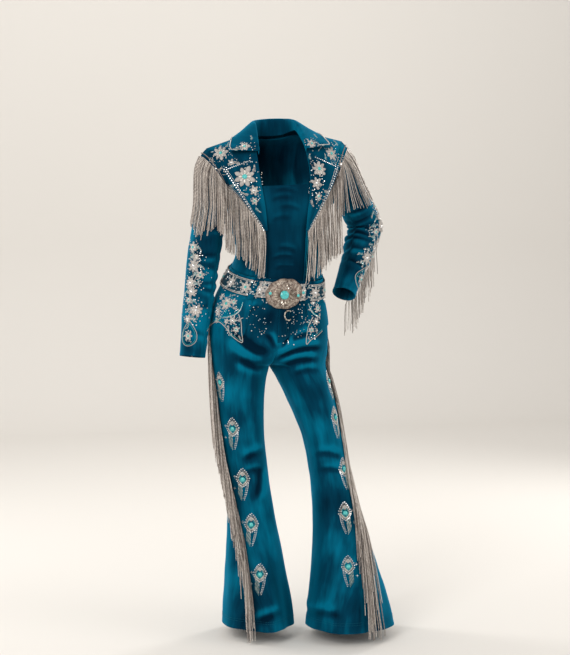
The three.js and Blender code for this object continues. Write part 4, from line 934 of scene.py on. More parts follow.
def sleeve(name, turn, along):
    turn, along = np.broadcast_arrays(np.mod(np.asarray(turn, float), 1), np.asarray(along, float))
    side = SIDES[name]
    lower, inward, _ = sleeve_ring(name, turn, np.clip((along - CAP) / (1 - CAP), 0, 1) * 6)
    if name == "left":
        bent = bell(along - ELBOW["centre"], ELBOW["spread"])
        wave = np.sin((along - ELBOW["centre"]) / ELBOW["spread"] * np.pi * ELBOW["count"] * 0.5)
        bulge = ELBOW["depth"] * bent * wave * np.maximum(np.cos(2 * np.pi * turn), 0)
        lower = lower + inward * bulge[..., None]
    first, _, down = sleeve_ring(name, turn, 0 * along)
    start = armhole(name, turn) + (side * 0.9, 0, 0)
    reach = np.linalg.norm(start - first, axis=-1, keepdims=True)
    outward = np.stack([0 * turn + side, 0 * turn, -0.2 - 0.75 * np.sin(np.pi * turn) ** 2], -1)
    t = (along / CAP)[..., None]
    leave, arrive = start + unit(outward) * reach * 0.34, first - down * reach * 0.36
    curve = start * (1 - t) ** 3 + 3 * leave * t * (1 - t) ** 2 + 3 * arrive * t**2 * (1 - t) + first * t**3
    return np.where(along[..., None] >= CAP, lower, curve)


def sleeve_creases(name, turn, along):
    total = np.zeros(np.broadcast(turn, along).shape)
    for at, slant, deepest, width, depth in SLEEVE_FOLDS[name]:
        round_ = np.mod(turn - deepest + 0.5, 1) - 0.5
        off = along - at - slant * round_ * 1.6
        ridge = 0.8 * bell(off - 1.6 * width, 1.25 * width)
        total += depth * bell(round_, 0.22) * (ridge - bell(off, width))
    return total


def sleeve_face(name, turn, along, step=0.01):
    """A place on a sleeve, the way out of it there, and the way down the arm."""
    place = sleeve(name, turn, along)
    one = sleeve(name, turn + step, along) - place
    other = sleeve(name, turn, along + step) - place
    return place, unit(np.cross(other, one)) * SIDES[name], other


SLEEVE_SEAMS = {"front": {"right": 0.14, "left": 0.1}, "back": {"right": 0.78, "left": 0.62}}
for side_name, side in SIDES.items():
    ahead, behind = SLEEVE_SEAMS["front"][side_name], SLEEVE_SEAMS["back"][side_name]
    for part, first, last in (("top", ahead, behind), ("under", behind, 1 + ahead)):
        s = np.linspace(0, 1, steps(320 * (last - first), 4))[None, :]
        along = 1 - np.linspace(0, 1, steps(600, 4.4))[:, None]
        turn = mix(first + 0.0018, last - 0.0018, s)
        points = sleeve(side_name, turn, along)
        edge = ease(s / 0.06) * ease((1 - s) / 0.06) * ease((along - 0.02) / 0.06) * ease((1 - along) / 0.03)
        relief = (sleeve_creases(side_name, turn, along) + softness(points, 0.7, 12)) * edge
        relief = relief + 0.7 * bell((1 - along) * 560 - 4, 4)
        # fold paints the relief into the velvet's colour: painted shade in the creases, painted highlight on
        # their ridges and on the cuff's roll.
        cloth(f"sleeve_{part}_{side_name}", points, side, relief=relief, fold=relief / 4)
        sew(f"sleeve_{part}_{side_name}", VELVET)

# ---- Fringe ------
# Strands of small glass and metal beads on thread, pewter and silver by turns, are caught under a narrow
# braid along the yokes, armholes, sleeve seams and outseams, and hang free from it.


def beaded():
    """A strand of beads: pewter and silver by turns, with a painted highlight on each bead along the strand.
    """
    made, tree, shader = shader_of("beaded_strand")
    run = node(tree, "Attribute", {"attribute_name": "run"})
    tone = node(tree, "Attribute", {"attribute_name": "tone"})
    # light: a painted highlight on each bead, a sine along the strand, which also gives the beads their bump.
    beads = node(tree, "Math", {"operation": "MULTIPLY"}, _0=run.outputs["Fac"], _1=2 * math.pi / 0.0042)
    light = node(tree, "Math", {"operation": "SINE"}, _0=beads.outputs[0])
    place = node(tree, "CombineXYZ", X=run.outputs["Fac"], Y=tone.outputs["Fac"])
    speck = node(tree, "TexNoise", Vector=place.outputs[0], Scale=60.0, Detail=1.0)
    apart = node(tree, "MapRange", Value=tone.outputs["Fac"], To_Min=0.26, To_Max=0.72)
    each = mixed(tree, 0.4, apart.outputs[0], speck.outputs[0])
    blend = node(tree, "Math", {"operation": "MULTIPLY_ADD"}, _0=light.outputs[0], _1=0.16, _2=each)
    ramp = node(tree, "ValToRGB", Fac=blend.outputs[0])
    dark, bright = ramp.color_ramp.elements
    dark.position, dark.color = 0.28, (0.10, 0.082, 0.074, 1)
    bright.position, bright.color = 0.72, (0.86, 0.80, 0.74, 1)
    ramp.color_ramp.elements.new(0.5).color = (0.44, 0.38, 0.34, 1)
    feed(tree, shader, Base_Color=ramp.outputs[0], Normal=bumped(tree, light.outputs[0], 0.9, 0.0007))
    feed(tree, shader, Metallic=0.4, Roughness=0.32)
    return made


def strand_tree():
    """Round cords along every run of edges. Each place may carry its own share of the thickness as radius."""
    tree = bpy.data.node_groups.new("cords", "GeometryNodeTree")
    tree.interface.new_socket(name="Paths", in_out="INPUT", socket_type="NodeSocketGeometry")
    for name, kind, value in (
        ("Thickness", "NodeSocketFloat", 0.0024),
        ("Sides", "NodeSocketInt", 5),
        ("Finish", "NodeSocketMaterial", None),
    ):
        socket = tree.interface.new_socket(name=name, in_out="INPUT", socket_type=kind)
        if value is not None:
            socket.default_value = value
    tree.interface.new_socket(name="Cords", in_out="OUTPUT", socket_type="NodeSocketGeometry")
    add = tree.nodes.new
    source, sink = add("NodeGroupInput"), add("NodeGroupOutput")
    curve, run = add("GeometryNodeMeshToCurve"), add("GeometryNodeSplineParameter")
    store = add("GeometryNodeStoreNamedAttribute")
    store.inputs["Name"].default_value = "run"
    half = add("ShaderNodeMath")
    half.operation = "MULTIPLY"
    half.inputs[1].default_value = 0.5
    circle, tube = add("GeometryNodeCurvePrimitiveCircle"), add("GeometryNodeCurveToMesh")
    tube.inputs["Fill Caps"].default_value = True
    whole, finish = add("GeometryNodeRealizeInstances"), add("GeometryNodeSetMaterial")
    for a, b in (
        (source.outputs["Paths"], curve.inputs["Mesh"]),
        (curve.outputs["Curve"], store.inputs["Geometry"]),
        (run.outputs["Length"], store.inputs["Value"]),
        (source.outputs["Thickness"], half.inputs[0]),
        (half.outputs[0], circle.inputs["Radius"]),
        (source.outputs["Sides"], circle.inputs["Resolution"]),
        (store.outputs["Geometry"], tube.inputs["Curve"]),
        (circle.outputs["Curve"], tube.inputs["Profile Curve"]),
        (tube.outputs["Mesh"], whole.inputs["Geometry"]),
        (whole.outputs["Geometry"], finish.inputs["Geometry"]),
        (source.outputs["Finish"], finish.inputs["Material"]),
        (finish.outputs["Geometry"], sink.inputs["Cords"]),
    ):
        tree.links.new(a, b)
    return tree


CORDS = strand_tree()


def grown(name, mesh, tree, inputs):
    """Runs a node tree over a mesh and keeps the result as a plain piece."""
    seed = bpy.data.objects.new(name + "_seed", mesh)
    bpy.context.scene.collection.objects.link(seed)
    modifier = seed.modifiers.new("grow", "NODES")
    modifier.node_group = tree
    for item in tree.interface.items_tree:
        if item.in_out == "INPUT" and item.name in inputs:
            modifier[item.identifier] = inputs[item.name]
    result = bpy.data.meshes.new_from_object(seed.evaluated_get(bpy.context.evaluated_depsgraph_get()))
    seed.modifiers.remove(modifier)
    bpy.data.objects.remove(seed)
    result.name = name
    result.shade_smooth()
    made = bpy.data.objects.new(name, result)
    bpy.context.scene.collection.objects.link(made)
    return made


def cords(name, paths, thickness, material, sides=5, taper=None):
    """Cords of one thickness in millimetres along paths of places in millimetres."""
    counts = [len(path) for path in paths]
    starts = np.cumsum([0] + counts[:-1])
    edges = [np.stack([np.arange(n - 1), np.arange(1, n)], 1) + first for n, first in zip(counts, starts)]
    mesh = bpy.data.meshes.new(name + "_paths")
    mesh.from_pydata(metres(np.concatenate(paths)).tolist(), np.concatenate(edges).tolist(), [])
    tone = np.repeat(np.random.default_rng(len(paths)).uniform(0, 1, len(paths)), counts)
    mesh.attributes.new("tone", "FLOAT", "POINT").data.foreach_set("value", tone.astype(np.float32))
    size = np.ones(sum(counts)) if taper is None else np.concatenate([taper(n) for n in counts])
    mesh.attributes.new("radius", "FLOAT", "POINT").data.foreach_set("value", size.astype(np.float32))
    return grown(name, mesh, CORDS, {"Thickness": thickness * 0.001, "Sides": sides, "Finish": material})


BEADED = beaded()
BRAID = satin("pewter_braid", (0.10, 0.085, 0.078), (0.5, 0.44, 0.4), 0.4)
FINE = 1


def fringe(name, strands, braid):
    """The strands of one edge, with the braid that holds them, in the place of that edge's solid."""
    ends = lambda n: np.concatenate([np.ones(n - 1), [0.45]])
    made = cords(name + "_strands", strands, 2.3, BEADED, 5, ends)
    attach(made, "root")
    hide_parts(name)
    strip = cords(name + "_braid", braid, 2.6, BRAID, 6)
    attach(strip, "root")


def sway(count, size, seed):
    """How each strand strays sideways as it falls: a slow bend and a small kink."""
    waves = np.random.default_rng(seed)
    a, b, c, d = waves.uniform(-1, 1, (4, count, 1))
    bend = lambda fall: a * fall**1.5 + 0.22 * b * np.sin(5 * fall + 3 * c)
    return lambda fall: size * (bend(fall) + 0.1 * d * np.sin(13 * fall + 6 * a))


# From the front yokes, the strands hang over the chest, and the outer ones over the front of the sleeve.
for side_name, side in SIDES.items():
    count = int(78 * FINE)
    fall = np.linspace(0, 1, 15)[None, :]
    waves = np.random.default_rng(20 + side)
    x = np.linspace(66, 180, count)[:, None] + waves.uniform(-0.8, 0.8, (count, 1))
    root = yoke_line(x) - 4
    end = np.interp(x, (66, 110, 150, 180), (1112, 1142, 1168, 1186)) + waves.uniform(-9, 7, (count, 1))
    heights = mix(root, end, fall)
    r = row_at_height(TORSO, heights)
    chest = -r["front"] * (1 - np.minimum(x / r["wide"], 0.985) ** SQUARE) ** (1 / SQUARE)
    sleeve_front = np.where(fall > 0.04, -64 * ease((x - 122) / 30), 0)
    ahead = np.minimum.accumulate(np.minimum(chest, sleeve_front), axis=1)
    lift = mix(3.6, waves.uniform(3.6, 9.5, (count, 1)), ease(fall / 0.2))
    drift = sway(count, 7, 30 + side)(fall) * ease(fall / 0.3)
    points = stand(side * x + drift, ahead - lift, heights)
    edge = np.linspace(64, 181, 50)
    seat = torso_at(side * edge, index_at(TORSO, yoke_line(edge) - 1))
    fringe(f"fringe_chest_{side_name}", list(points), [seat + (0, -3.6, 0)])

# Round the armholes, they start on the sleeve head and lie down the arm; the front ones hang free of it.
# For each arm: how far down it they reach, how much less at the back, and how long the free ones are.
ARM_FRINGE = {"right": (0.5, 0.1, 168), "left": (0.44, 0.05, 150)}
for side_name, side in SIDES.items():
    far, less, free_length = ARM_FRINGE[side_name]
    count = int(62 * FINE)
    waves = np.random.default_rng(40 + side)
    turn = np.linspace(0.165, 0.535, count)[:, None] + waves.uniform(-0.002, 0.002, (count, 1))
    reach = far - less * (turn - 0.165) / 0.37
    fall = np.linspace(0, 1, 15)[None, :]
    along = mix(0.05, reach + waves.uniform(-0.03, 0.02, (count, 1)), fall)
    drift = sway(count, 0.008, 50 + side)(fall)
    bare, out, _ = sleeve_face(side_name, turn + drift, along, 0.002)
    lift = mix(3.4, waves.uniform(3.6, 7.5, (count, 1)), ease(fall / 0.2))[..., None]
    points = bare + out * lift
    # A strand hangs plumb until the arm turns it outwards.
    free = ease((0.33 - turn) / 0.1)[..., None]
    length = free_length + waves.uniform(-10, 10, (count, 1))
    drop = np.stack([0 * fall + drift * 300, -9 * ease(fall / 0.3) + 0 * turn, -length * fall], -1)
    points = mix(points, points[:, :1] + drop, free)
    edge = np.linspace(0.155, 0.545, 44)
    seat = sleeve(side_name, edge, 0.03 + 0 * edge)
    away = unit(seat - seat.mean(0)) * (0.6, 1, 1)
    fringe(f"fringe_armhole_{side_name}", list(points), [seat + unit(away) * 2.4 + (side * 1.6, 0, 0)])

# Behind, they hang straight from the pointed back yoke.
count = int(130 * FINE)
waves = np.random.default_rng(60)
x = np.linspace(-135, 135, count)[:, None] + waves.uniform(-0.8, 0.8, (count, 1))
fall = np.linspace(0, 1, 14)[None, :]
root = back_yoke_line(x) - 5
heights = mix(root, root - 150 + waves.uniform(-9, 9, (count, 1)), fall)
r = row_at_height(TORSO, heights)
shell = r["back"] * (1 - np.minimum(np.abs(x) / r["wide"], 0.985) ** SQUARE) ** (1 / SQUARE)
behind = np.maximum.accumulate(shell, axis=1) + mix(3.6, waves.uniform(3.6, 9, (count, 1)), ease(fall / 0.2))
points = stand(x + sway(count, 7, 61)(fall) * ease(fall / 0.3), behind, heights)
edge = np.linspace(-138, 138, 90)
seat = torso_at(edge, index_at(TORSO, back_yoke_line(edge) - 2), True)
fringe("fringe_back", list(points), [seat + (0, 3.4, 0)])

# Along each forearm's back seam. For each arm: where on the sleeve they start and end, where round it the
# seam is, and how long they are.
SLEEVE_FRINGE = {"right": (0.615, 0.845, 0.78, 84), "left": (0.575, 0.97, 0.62, 125)}
for side_name, side in SIDES.items():
    first, last, seam, length = SLEEVE_FRINGE[side_name]
    count = int((40 if side < 0 else 64) * FINE)
    waves = np.random.default_rng(70 + side)
    along = np.linspace(first, last, count)[:, None]
    seat, out, _ = sleeve_face(side_name, seam, along)
    level = unit(out * (1, 1, 0))
    across = np.stack([level[..., 1], -level[..., 0], 0 * level[..., 0]], -1)
    fall = np.linspace(0, 1, 13)[None, :, None]
    lane = waves.uniform(-17, 17, (count, 1, 1))
    clear = 4 + 5 * ease(fall / 0.2) + waves.uniform(0, 4, (count, 1, 1)) * fall
    drop = length * (1 + waves.uniform(-0.07, 0.05, (count, 1, 1))) * fall
    drift = sway(count, 5, 80 + side)(fall[..., 0])[..., None] * ease(fall / 0.3)
    points = seat + level * clear + across * (lane * ease(fall / 0.25) + drift) - np.array([0, 0, 1]) * drop
    edge = np.linspace(first - 0.01, last + 0.01, 50)
    line, lean, _ = sleeve_face(side_name, seam, edge)
    fringe(f"fringe_sleeve_{side_name}", list(points), [line + lean * 2.0])

# Down each outseam, from the hip to the flare, each strand slipping under those from above. For each leg:
# how far round it they drift as they fall, and how far forward they are carried.
LEG_FRINGE = {"right": (0.115, 24), "left": (0.025, 2)}


def leg_face(name, way, height):
    """A place on a leg and the way out of it there."""
    place = leg(name, way, height)
    one, other = leg(name, way + 0.004, height) - place, leg(name, way, height + 2) - place
    return place, unit(np.cross(one, other)) * -SIDES[name]


for side_name, side in SIDES.items():
    backward, forward = LEG_FRINGE[side_name]
    count = int(196 * FINE)
    waves = np.random.default_rng(90 + side)
    rows = LEGS[side_name]
    top = np.linspace(300, 932, count)[:, None]
    end = np.maximum(top - 300 + waves.uniform(-14, 10, (count, 1)), waves.uniform(5, 20, (count, 1)))
    fall = np.linspace(0, 1, 20)[None, :]
    heights = mix(top, end, fall)
    r = row_at_height(rows, np.maximum(heights, HEM))
    flare = ease((460 - heights) / 460)
    spread = np.maximum(0.0165, 4.6 / (np.pi * r["wide"]))
    lane = waves.uniform(-4.2, 4.2, (count, 1)) * spread * (1 + 1.4 * flare)
    lane = lane + backward * ease((760 - heights) / 760)
    drift = sway(count, 0.012, 95 + side)(fall)
    way = r["seam"] + (lane + drift) * ease(fall / 0.1)
    bare, out = leg_face(side_name, way, np.maximum(heights, HEM))
    lift = mix(3.4, waves.uniform(4.5, 11.5, (count, 1)), ease(fall / 0.35))
    points = bare + out * lift[..., None]
    points[..., 2] += np.minimum(heights - HEM, 0)
    hung = np.maximum.accumulate(side * points[..., 0] + 4 * fall, axis=1) - 4 * fall
    ahead = forward + waves.uniform(-15, 15, (count, 1)) * flare
    ahead = ahead * ease((800 - heights) / 620) * ease(fall / 0.35)
    points[..., 0] = side * (hung - ahead)
    edge = np.linspace(296, 936, 120)
    seam = row_at_height(rows, edge)["seam"]
    line, lean = leg_face(side_name, seam, edge)
    fringe(f"fringe_leg_{side_name}", list(points), [line + lean * 2.0])

# ---- Leg medallions ------
# Five kites a leg, each a polished turquoise inside rows of cut stones and seed beads that come to a point
# above, with beaded chains below and a dotted tail. Every stone is sewn or pressed through the velvet.
VISIBLE = [n for n in PANELS if not n.startswith(("top_", "waistband")) or n == "top_front"]


def ground_of(names):
    points, faces, start = [], [], 0
    for name in names:
        top = PANELS[name]["top"]
        rows, cols = top.shape[:2]
        j, i = (g.ravel() for g in np.meshgrid(np.arange(rows - 1), np.arange(cols - 1), indexing="ij"))
        corner = j * cols + i + start
        faces.append(np.stack([corner, corner + 1, corner + cols + 1, corner + cols], 1))
        points.append(metres(top).reshape(-1, 3))
        start += rows * cols
    return BVHTree.FromPolygons(np.concatenate(points).tolist(), np.concatenate(faces).tolist())


GROUND = ground_of(VISIBLE)
EYE = bpy.context.scene.camera.location.copy()
TURN = bpy.context.scene.camera.rotation_euler.to_matrix()


def sight(across, down):
    """The place on the suit that a line of sight meets, across and down the frame in pixels."""
    ray = TURN @ Vector((across - FRAME_WIDE / 2 + SHIFT, FRAME_TALL / 2 - down, -VIEW["pixels"]))
    place, normal, _, _ = GROUND.ray_cast(EYE, ray.normalized())
    if place is None:
        place, normal, _, _ = GROUND.find_nearest(EYE + ray.normalized() * VIEW["distance"])
    return place, (normal if normal.dot(ray) < 0 else -normal)


class Spot:
    """A place on the cloth with its own right and up, so that a design can be laid out around it."""

    def __init__(self, place, normal, up=(0, 0, 1), turn=0.0):
        self.place, self.normal = Vector(place), Vector(normal).normalized()
        up = Vector(up)
        self.up = (up - self.normal * up.dot(self.normal)).normalized()
        self.right = self.up.cross(self.normal)
        if turn:
            c, s = math.cos(turn), math.sin(turn)
            self.right, self.up = self.right * c + self.up * s, self.up * c - self.right * s

    def at(self, x, y, lift=0.0):
        """A place x and y millimetres from the middle, dropped on to the cloth, and its normal there."""
        over = self.place + (self.right * x + self.up * y) * 0.001
        hit, normal, _, far = GROUND.ray_cast(over + self.normal * 0.03, -self.normal, 0.06)
        if hit is None:
            hit, normal = over, self.normal
        if normal.dot(self.normal) < 0:
            normal = -normal
        return hit + normal * lift * 0.001, normal

    def toward(self, angle):
        return self.right * math.cos(angle) + self.up * math.sin(angle)

    def sub(self, x, y, turn=0.0):
        place, normal = self.at(x, y)
        return Spot(place, normal, self.up, turn)

    def beside(self, reach, turn):
        """A spot at a distance from this one on the side that turn points to, with its up turned that way."""
        return self.sub(-reach * math.sin(turn), reach * math.cos(turn), turn)


def spot(across, down, turn=0.0):
    return Spot(*sight(across, down), turn=turn)


def solid_shape(name, rings, sides, half=1.0):
    """A small closed form of rings of radius and height, flat below; half squeezes it sideways."""
    points, faces = [], []
    for radius, height in rings:
        for k in range(sides):
            angle = 2 * math.pi * (k + 0.5) / sides
            points.append((radius * math.cos(angle) * half, radius * math.sin(angle), height))
    for ring in range(len(rings) - 1):
        for k in range(sides):
            a, b = ring * sides + k, ring * sides + (k + 1) % sides
            faces.append((a, b, b + sides, a + sides))
    faces += [tuple(range(sides))[::-1], tuple(range((len(rings) - 1) * sides, len(rings) * sides))]
    mesh = bpy.data.meshes.new(name)
    mesh.from_pydata(points, [], faces)
    return bpy.data.objects.new(name, mesh)


def petal_shape(name, outline, rise, fold):
    """A petal or leaf from its foot to its tip, domed, with a crease down the middle."""
    points = [(0, 0, 0), (0, 1, 0)] + [(w, y, 0) for y, w in outline] + [(-w, y, 0) for y, w in outline]
    points += [(0, y, rise - fold) for y, w in outline]
    points += [(w * 0.55, y, rise) for y, w in outline] + [(-w * 0.55, y, rise) for y, w in outline]
    n = len(outline)
    right, left, mid, ridge_r, ridge_l = 2, 2 + n, 2 + 2 * n, 2 + 3 * n, 2 + 4 * n
    faces = []
    for k in range(n - 1):
        faces += [
            (right + k, right + k + 1, ridge_r + k + 1, ridge_r + k),
            (ridge_r + k, ridge_r + k + 1, mid + k + 1, mid + k),
            (mid + k, mid + k + 1, ridge_l + k + 1, ridge_l + k),
            (ridge_l + k, ridge_l + k + 1, left + k + 1, left + k),
            (left + k, left + k + 1, right + k + 1, right + k),
        ]  # fmt: skip
    e = n - 1
    for foot, at in ((0, 0), (1, e)):
        loop = [right + at, ridge_r + at, mid + at, ridge_l + at, left + at]
        fan = [(foot, a, b) for a, b in zip(loop, loop[1:])] + [(foot, left + at, right + at)]
        faces += [f[::-1] for f in fan] if foot == 1 else fan
    mesh = bpy.data.meshes.new(name)
    mesh.from_pydata(points, [], [tuple(f)[::-1] for f in faces])
    return bpy.data.objects.new(name, mesh)


SHAPES = {
    "stone": solid_shape("stone_shape", [(0.5, 0), (0.5, 0.12), (0.3, 0.32)], 6),
    "bead": solid_shape("bead_shape", [(0.42, 0), (0.5, 0.2), (0.28, 0.46)], 6),
    "dome": solid_shape(
        "dome_shape", [(0.46, 0), (0.5, 0.06), (0.44, 0.2), (0.32, 0.3), (0.17, 0.355), (0.05, 0.37)], 16
    ),
    "stitch": solid_shape("stitch_shape", [(0.5, 0), (0.3, 0.26)], 5, 0.32),
    "petal": petal_shape("petal_shape", [(0.15, 0.09), (0.4, 0.2), (0.66, 0.25), (0.88, 0.15)], 0.14, 0.07),
    "leaf": petal_shape("leaf_shape", [(0.12, 0.07), (0.35, 0.17), (0.62, 0.15), (0.86, 0.06)], 0.1, 0.06),
}


def scatter_tree():
    """Sets one small form on every place of a mesh, turned to the cloth and grown to its size."""
    tree = bpy.data.node_groups.new("set_stones", "GeometryNodeTree")
    tree.interface.new_socket(name="Places", in_out="INPUT", socket_type="NodeSocketGeometry")
    tree.interface.new_socket(name="Form", in_out="INPUT", socket_type="NodeSocketObject")
    scale = tree.interface.new_socket(name="Size", in_out="INPUT", socket_type="NodeSocketFloat")
    scale.default_value = 1.0
    uneven = tree.interface.new_socket(name="Uneven", in_out="INPUT", socket_type="NodeSocketFloat")
    uneven.default_value = 0.06
    tree.interface.new_socket(name="Finish", in_out="INPUT", socket_type="NodeSocketMaterial")
    tree.interface.new_socket(name="Set", in_out="OUTPUT", socket_type="NodeSocketGeometry")
    add = tree.nodes.new
    source, sink, spread = add("NodeGroupInput"), add("NodeGroupOutput"), add("GeometryNodeInstanceOnPoints")
    form, aim, lay = add("GeometryNodeObjectInfo"), add("FunctionNodeAlignRotationToVector"), {}
    for name, kind in (("facing", "FLOAT_VECTOR"), ("upward", "FLOAT_VECTOR"), ("size", "FLOAT")):
        lay[name] = add("GeometryNodeInputNamedAttribute")
        lay[name].data_type = kind
        lay[name].inputs["Name"].default_value = name
    turn = add("FunctionNodeAlignRotationToVector")
    aim.axis, turn.axis, turn.pivot_axis = "Z", "Y", "Z"
    odd, grow, all_ = add("FunctionNodeRandomValue"), add("ShaderNodeMath"), add("ShaderNodeMath")
    less, more = add("ShaderNodeMath"), add("ShaderNodeMath")
    grow.operation = all_.operation = "MULTIPLY"
    less.operation, more.operation = "SUBTRACT", "ADD"
    less.inputs[0].default_value = more.inputs[0].default_value = 1.0
    odd.inputs["Seed"].default_value = 4
    whole, finish = add("GeometryNodeRealizeInstances"), add("GeometryNodeSetMaterial")
    for a, b in (
        (source.outputs["Places"], spread.inputs["Points"]),
        (source.outputs["Form"], form.inputs["Object"]),
        (form.outputs["Geometry"], spread.inputs["Instance"]),
        (lay["facing"].outputs["Attribute"], aim.inputs["Vector"]),
        (aim.outputs["Rotation"], turn.inputs["Rotation"]),
        (lay["upward"].outputs["Attribute"], turn.inputs["Vector"]),
        (turn.outputs["Rotation"], spread.inputs["Rotation"]),
        (source.outputs["Uneven"], less.inputs[1]),
        (source.outputs["Uneven"], more.inputs[1]),
        (less.outputs[0], odd.inputs[2]),
        (more.outputs[0], odd.inputs[3]),
        (lay["size"].outputs["Attribute"], grow.inputs[0]),
        (odd.outputs[1], grow.inputs[1]),
        (grow.outputs[0], all_.inputs[0]),
        (source.outputs["Size"], all_.inputs[1]),
        (all_.outputs[0], spread.inputs["Scale"]),
        (spread.outputs["Instances"], whole.inputs["Geometry"]),
        (whole.outputs["Geometry"], finish.inputs["Geometry"]),
        (source.outputs["Finish"], finish.inputs["Material"]),
        (finish.outputs["Geometry"], sink.inputs["Set"]),
    ):
        tree.links.new(a, b)
    return tree


SET_STONES = scatter_tree()


class Trim:
    """The stones, beads, petals and cords of one part of the suit, gathered by form and finish."""

    def __init__(self, name):
        self.name, self.sets, self.lines = name, {}, {}

    def put(self, form, finish, where, size, up=(0, 0, 1)):
        place, normal = where
        self.sets.setdefault((form, finish.name), []).append((*place, *normal, *up, size * 0.001))

    def line(self, finish, thickness, spots_):
        places = [tuple(1000 * c for c in p) for p in spots_]
        self.lines.setdefault((finish.name, thickness), []).append(np.array(places) + (0, 0, 1500))

    def sew_on(self, slots):
        pieces = []
        for (form, finish), rows in self.sets.items():
            rows = np.array(rows, np.float32)
            mesh = bpy.data.meshes.new("places")
            mesh.from_pydata(rows[:, :3].tolist(), [], [])
            for name, part, kind in (("facing", rows[:, 3:6], "vector"), ("upward", rows[:, 6:9], "vector")):
                mesh.attributes.new(name, "FLOAT_VECTOR", "POINT").data.foreach_set(kind, part.ravel())
            mesh.attributes.new("size", "FLOAT", "POINT").data.foreach_set("value", rows[:, 9].copy())
            inputs = {"Form": SHAPES[form], "Finish": bpy.data.materials[finish]}
            piece = grown(f"{self.name}_{finish}_{form}", mesh, SET_STONES, inputs)
            piece.data.set_sharp_from_angle(angle=math.radians(28))
            pieces.append((piece, finish))
        for (finish, thickness), paths in self.lines.items():
            name = f"{self.name}_{finish}_cord_{int(thickness * 10)}"
            pieces.append((cords(name, paths, thickness, bpy.data.materials[finish], 5), finish))
        for piece, finish in pieces:
            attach(piece, "root")


def worn_metal_group():
    """Antique metal: dark in slow patches and fine pits, bright where it is rubbed."""
    sockets = [("Place", "Vector", "INPUT"), ("Worn", "Float", "OUTPUT"), ("Pits", "Float", "OUTPUT")]
    group, source, sink = shader_group("worn_metal", sockets)
    broad = node(group, "TexNoise", Vector=source.outputs["Place"], Scale=130.0, Detail=4.0, Roughness=0.6)
    fine = node(group, "TexNoise", Vector=source.outputs["Place"], Scale=900.0, Detail=2.0)
    worn = node(group, "MapRange", Value=broad.outputs[0], From_Min=0.36, From_Max=0.62)
    feed(group, sink, Worn=worn.outputs[0], Pits=fine.outputs[0])
    return group


WORN = worn_metal_group()


def metal(name, dark, bright, roughness=0.32, metallic=1.0):
    made, tree, shader = shader_of(name)
    place = node(tree, "TexCoord")
    worn = tree.nodes.new("ShaderNodeGroup")
    worn.node_tree = WORN
    feed(tree, worn, Place=place.outputs["Object"])
    rough = node(tree, "MapRange", Value=worn.outputs["Worn"], To_Min=roughness + 0.2, To_Max=roughness)
    normal = bumped(tree, worn.outputs["Pits"], 0.25, 0.0003)
    feed(tree, shader, Base_Color=tinted(tree, worn.outputs["Worn"], dark, bright))
    feed(tree, shader, Roughness=rough.outputs[0], Normal=normal, Metallic=metallic)
    return made


def turquoise(name):
    made, tree, shader = shader_of(name)
    place = node(tree, "TexCoord").outputs["Object"]
    broad = node(tree, "TexNoise", Vector=place, Scale=90.0, Detail=3.0)
    vein = node(tree, "TexVoronoi", {"feature": "DISTANCE_TO_EDGE"}, Vector=place, Scale=150.0)
    line = node(tree, "MapRange", Value=vein.outputs["Distance"], From_Max=0.045)
    body = tinted(tree, broad.outputs[0], (0.025, 0.36, 0.37), (0.09, 0.62, 0.6))
    tone = tinted(tree, line.outputs[0], (0.07, 0.12, 0.1), body)
    feed(tree, shader, Base_Color=tone, Roughness=0.18, Coat_Weight=0.5)
    return made


SILVER = metal("antique_silver", (0.16, 0.13, 0.11), (0.72, 0.66, 0.58))
SPARKLE = metal("cut_stones", (0.55, 0.58, 0.6), (0.98, 0.98, 0.98), 0.1, 0.75)
PEARL = metal("seed_beads", (0.42, 0.4, 0.38), (0.9, 0.86, 0.8), 0.28, 0.35)
THREAD = satin("silver_thread", (0.3, 0.28, 0.27), (0.78, 0.74, 0.7), 0.42)
GLAZE = satin("turquoise_thread", (0.02, 0.28, 0.32), (0.12, 0.62, 0.64), 0.4)
TURQUOISE = turquoise("polished_turquoise")
SLOTS = {"turquoise_thread": "stone", "polished_turquoise": "stone", "pewter_braid": "fringe"}

MEDALLIONS = [
    (220, 382, 0.92), (232.5, 428.5, 1.0), (242.6, 479.2, 1.0), (251.2, 524.4, 1.0), (259.8, 574.3, 0.96),
    (331, 380, 0.92), (335.3, 417, 1.0), (343.9, 468.3, 1.0), (345.2, 512.7, 1.0), (348.3, 566.2, 0.96),
]  # fmt: skip


def kite(angle, share):
    """A kite with soft sides, drawn to a long point above. Angle 0 is to the right."""
    x, y = math.cos(angle), math.sin(angle)
    far = share / (abs(x) ** 1.3 + abs(y) ** 1.3) ** (1 / 1.3)
    return 21 * x * far, (33 if y > 0 else 24) * y * far


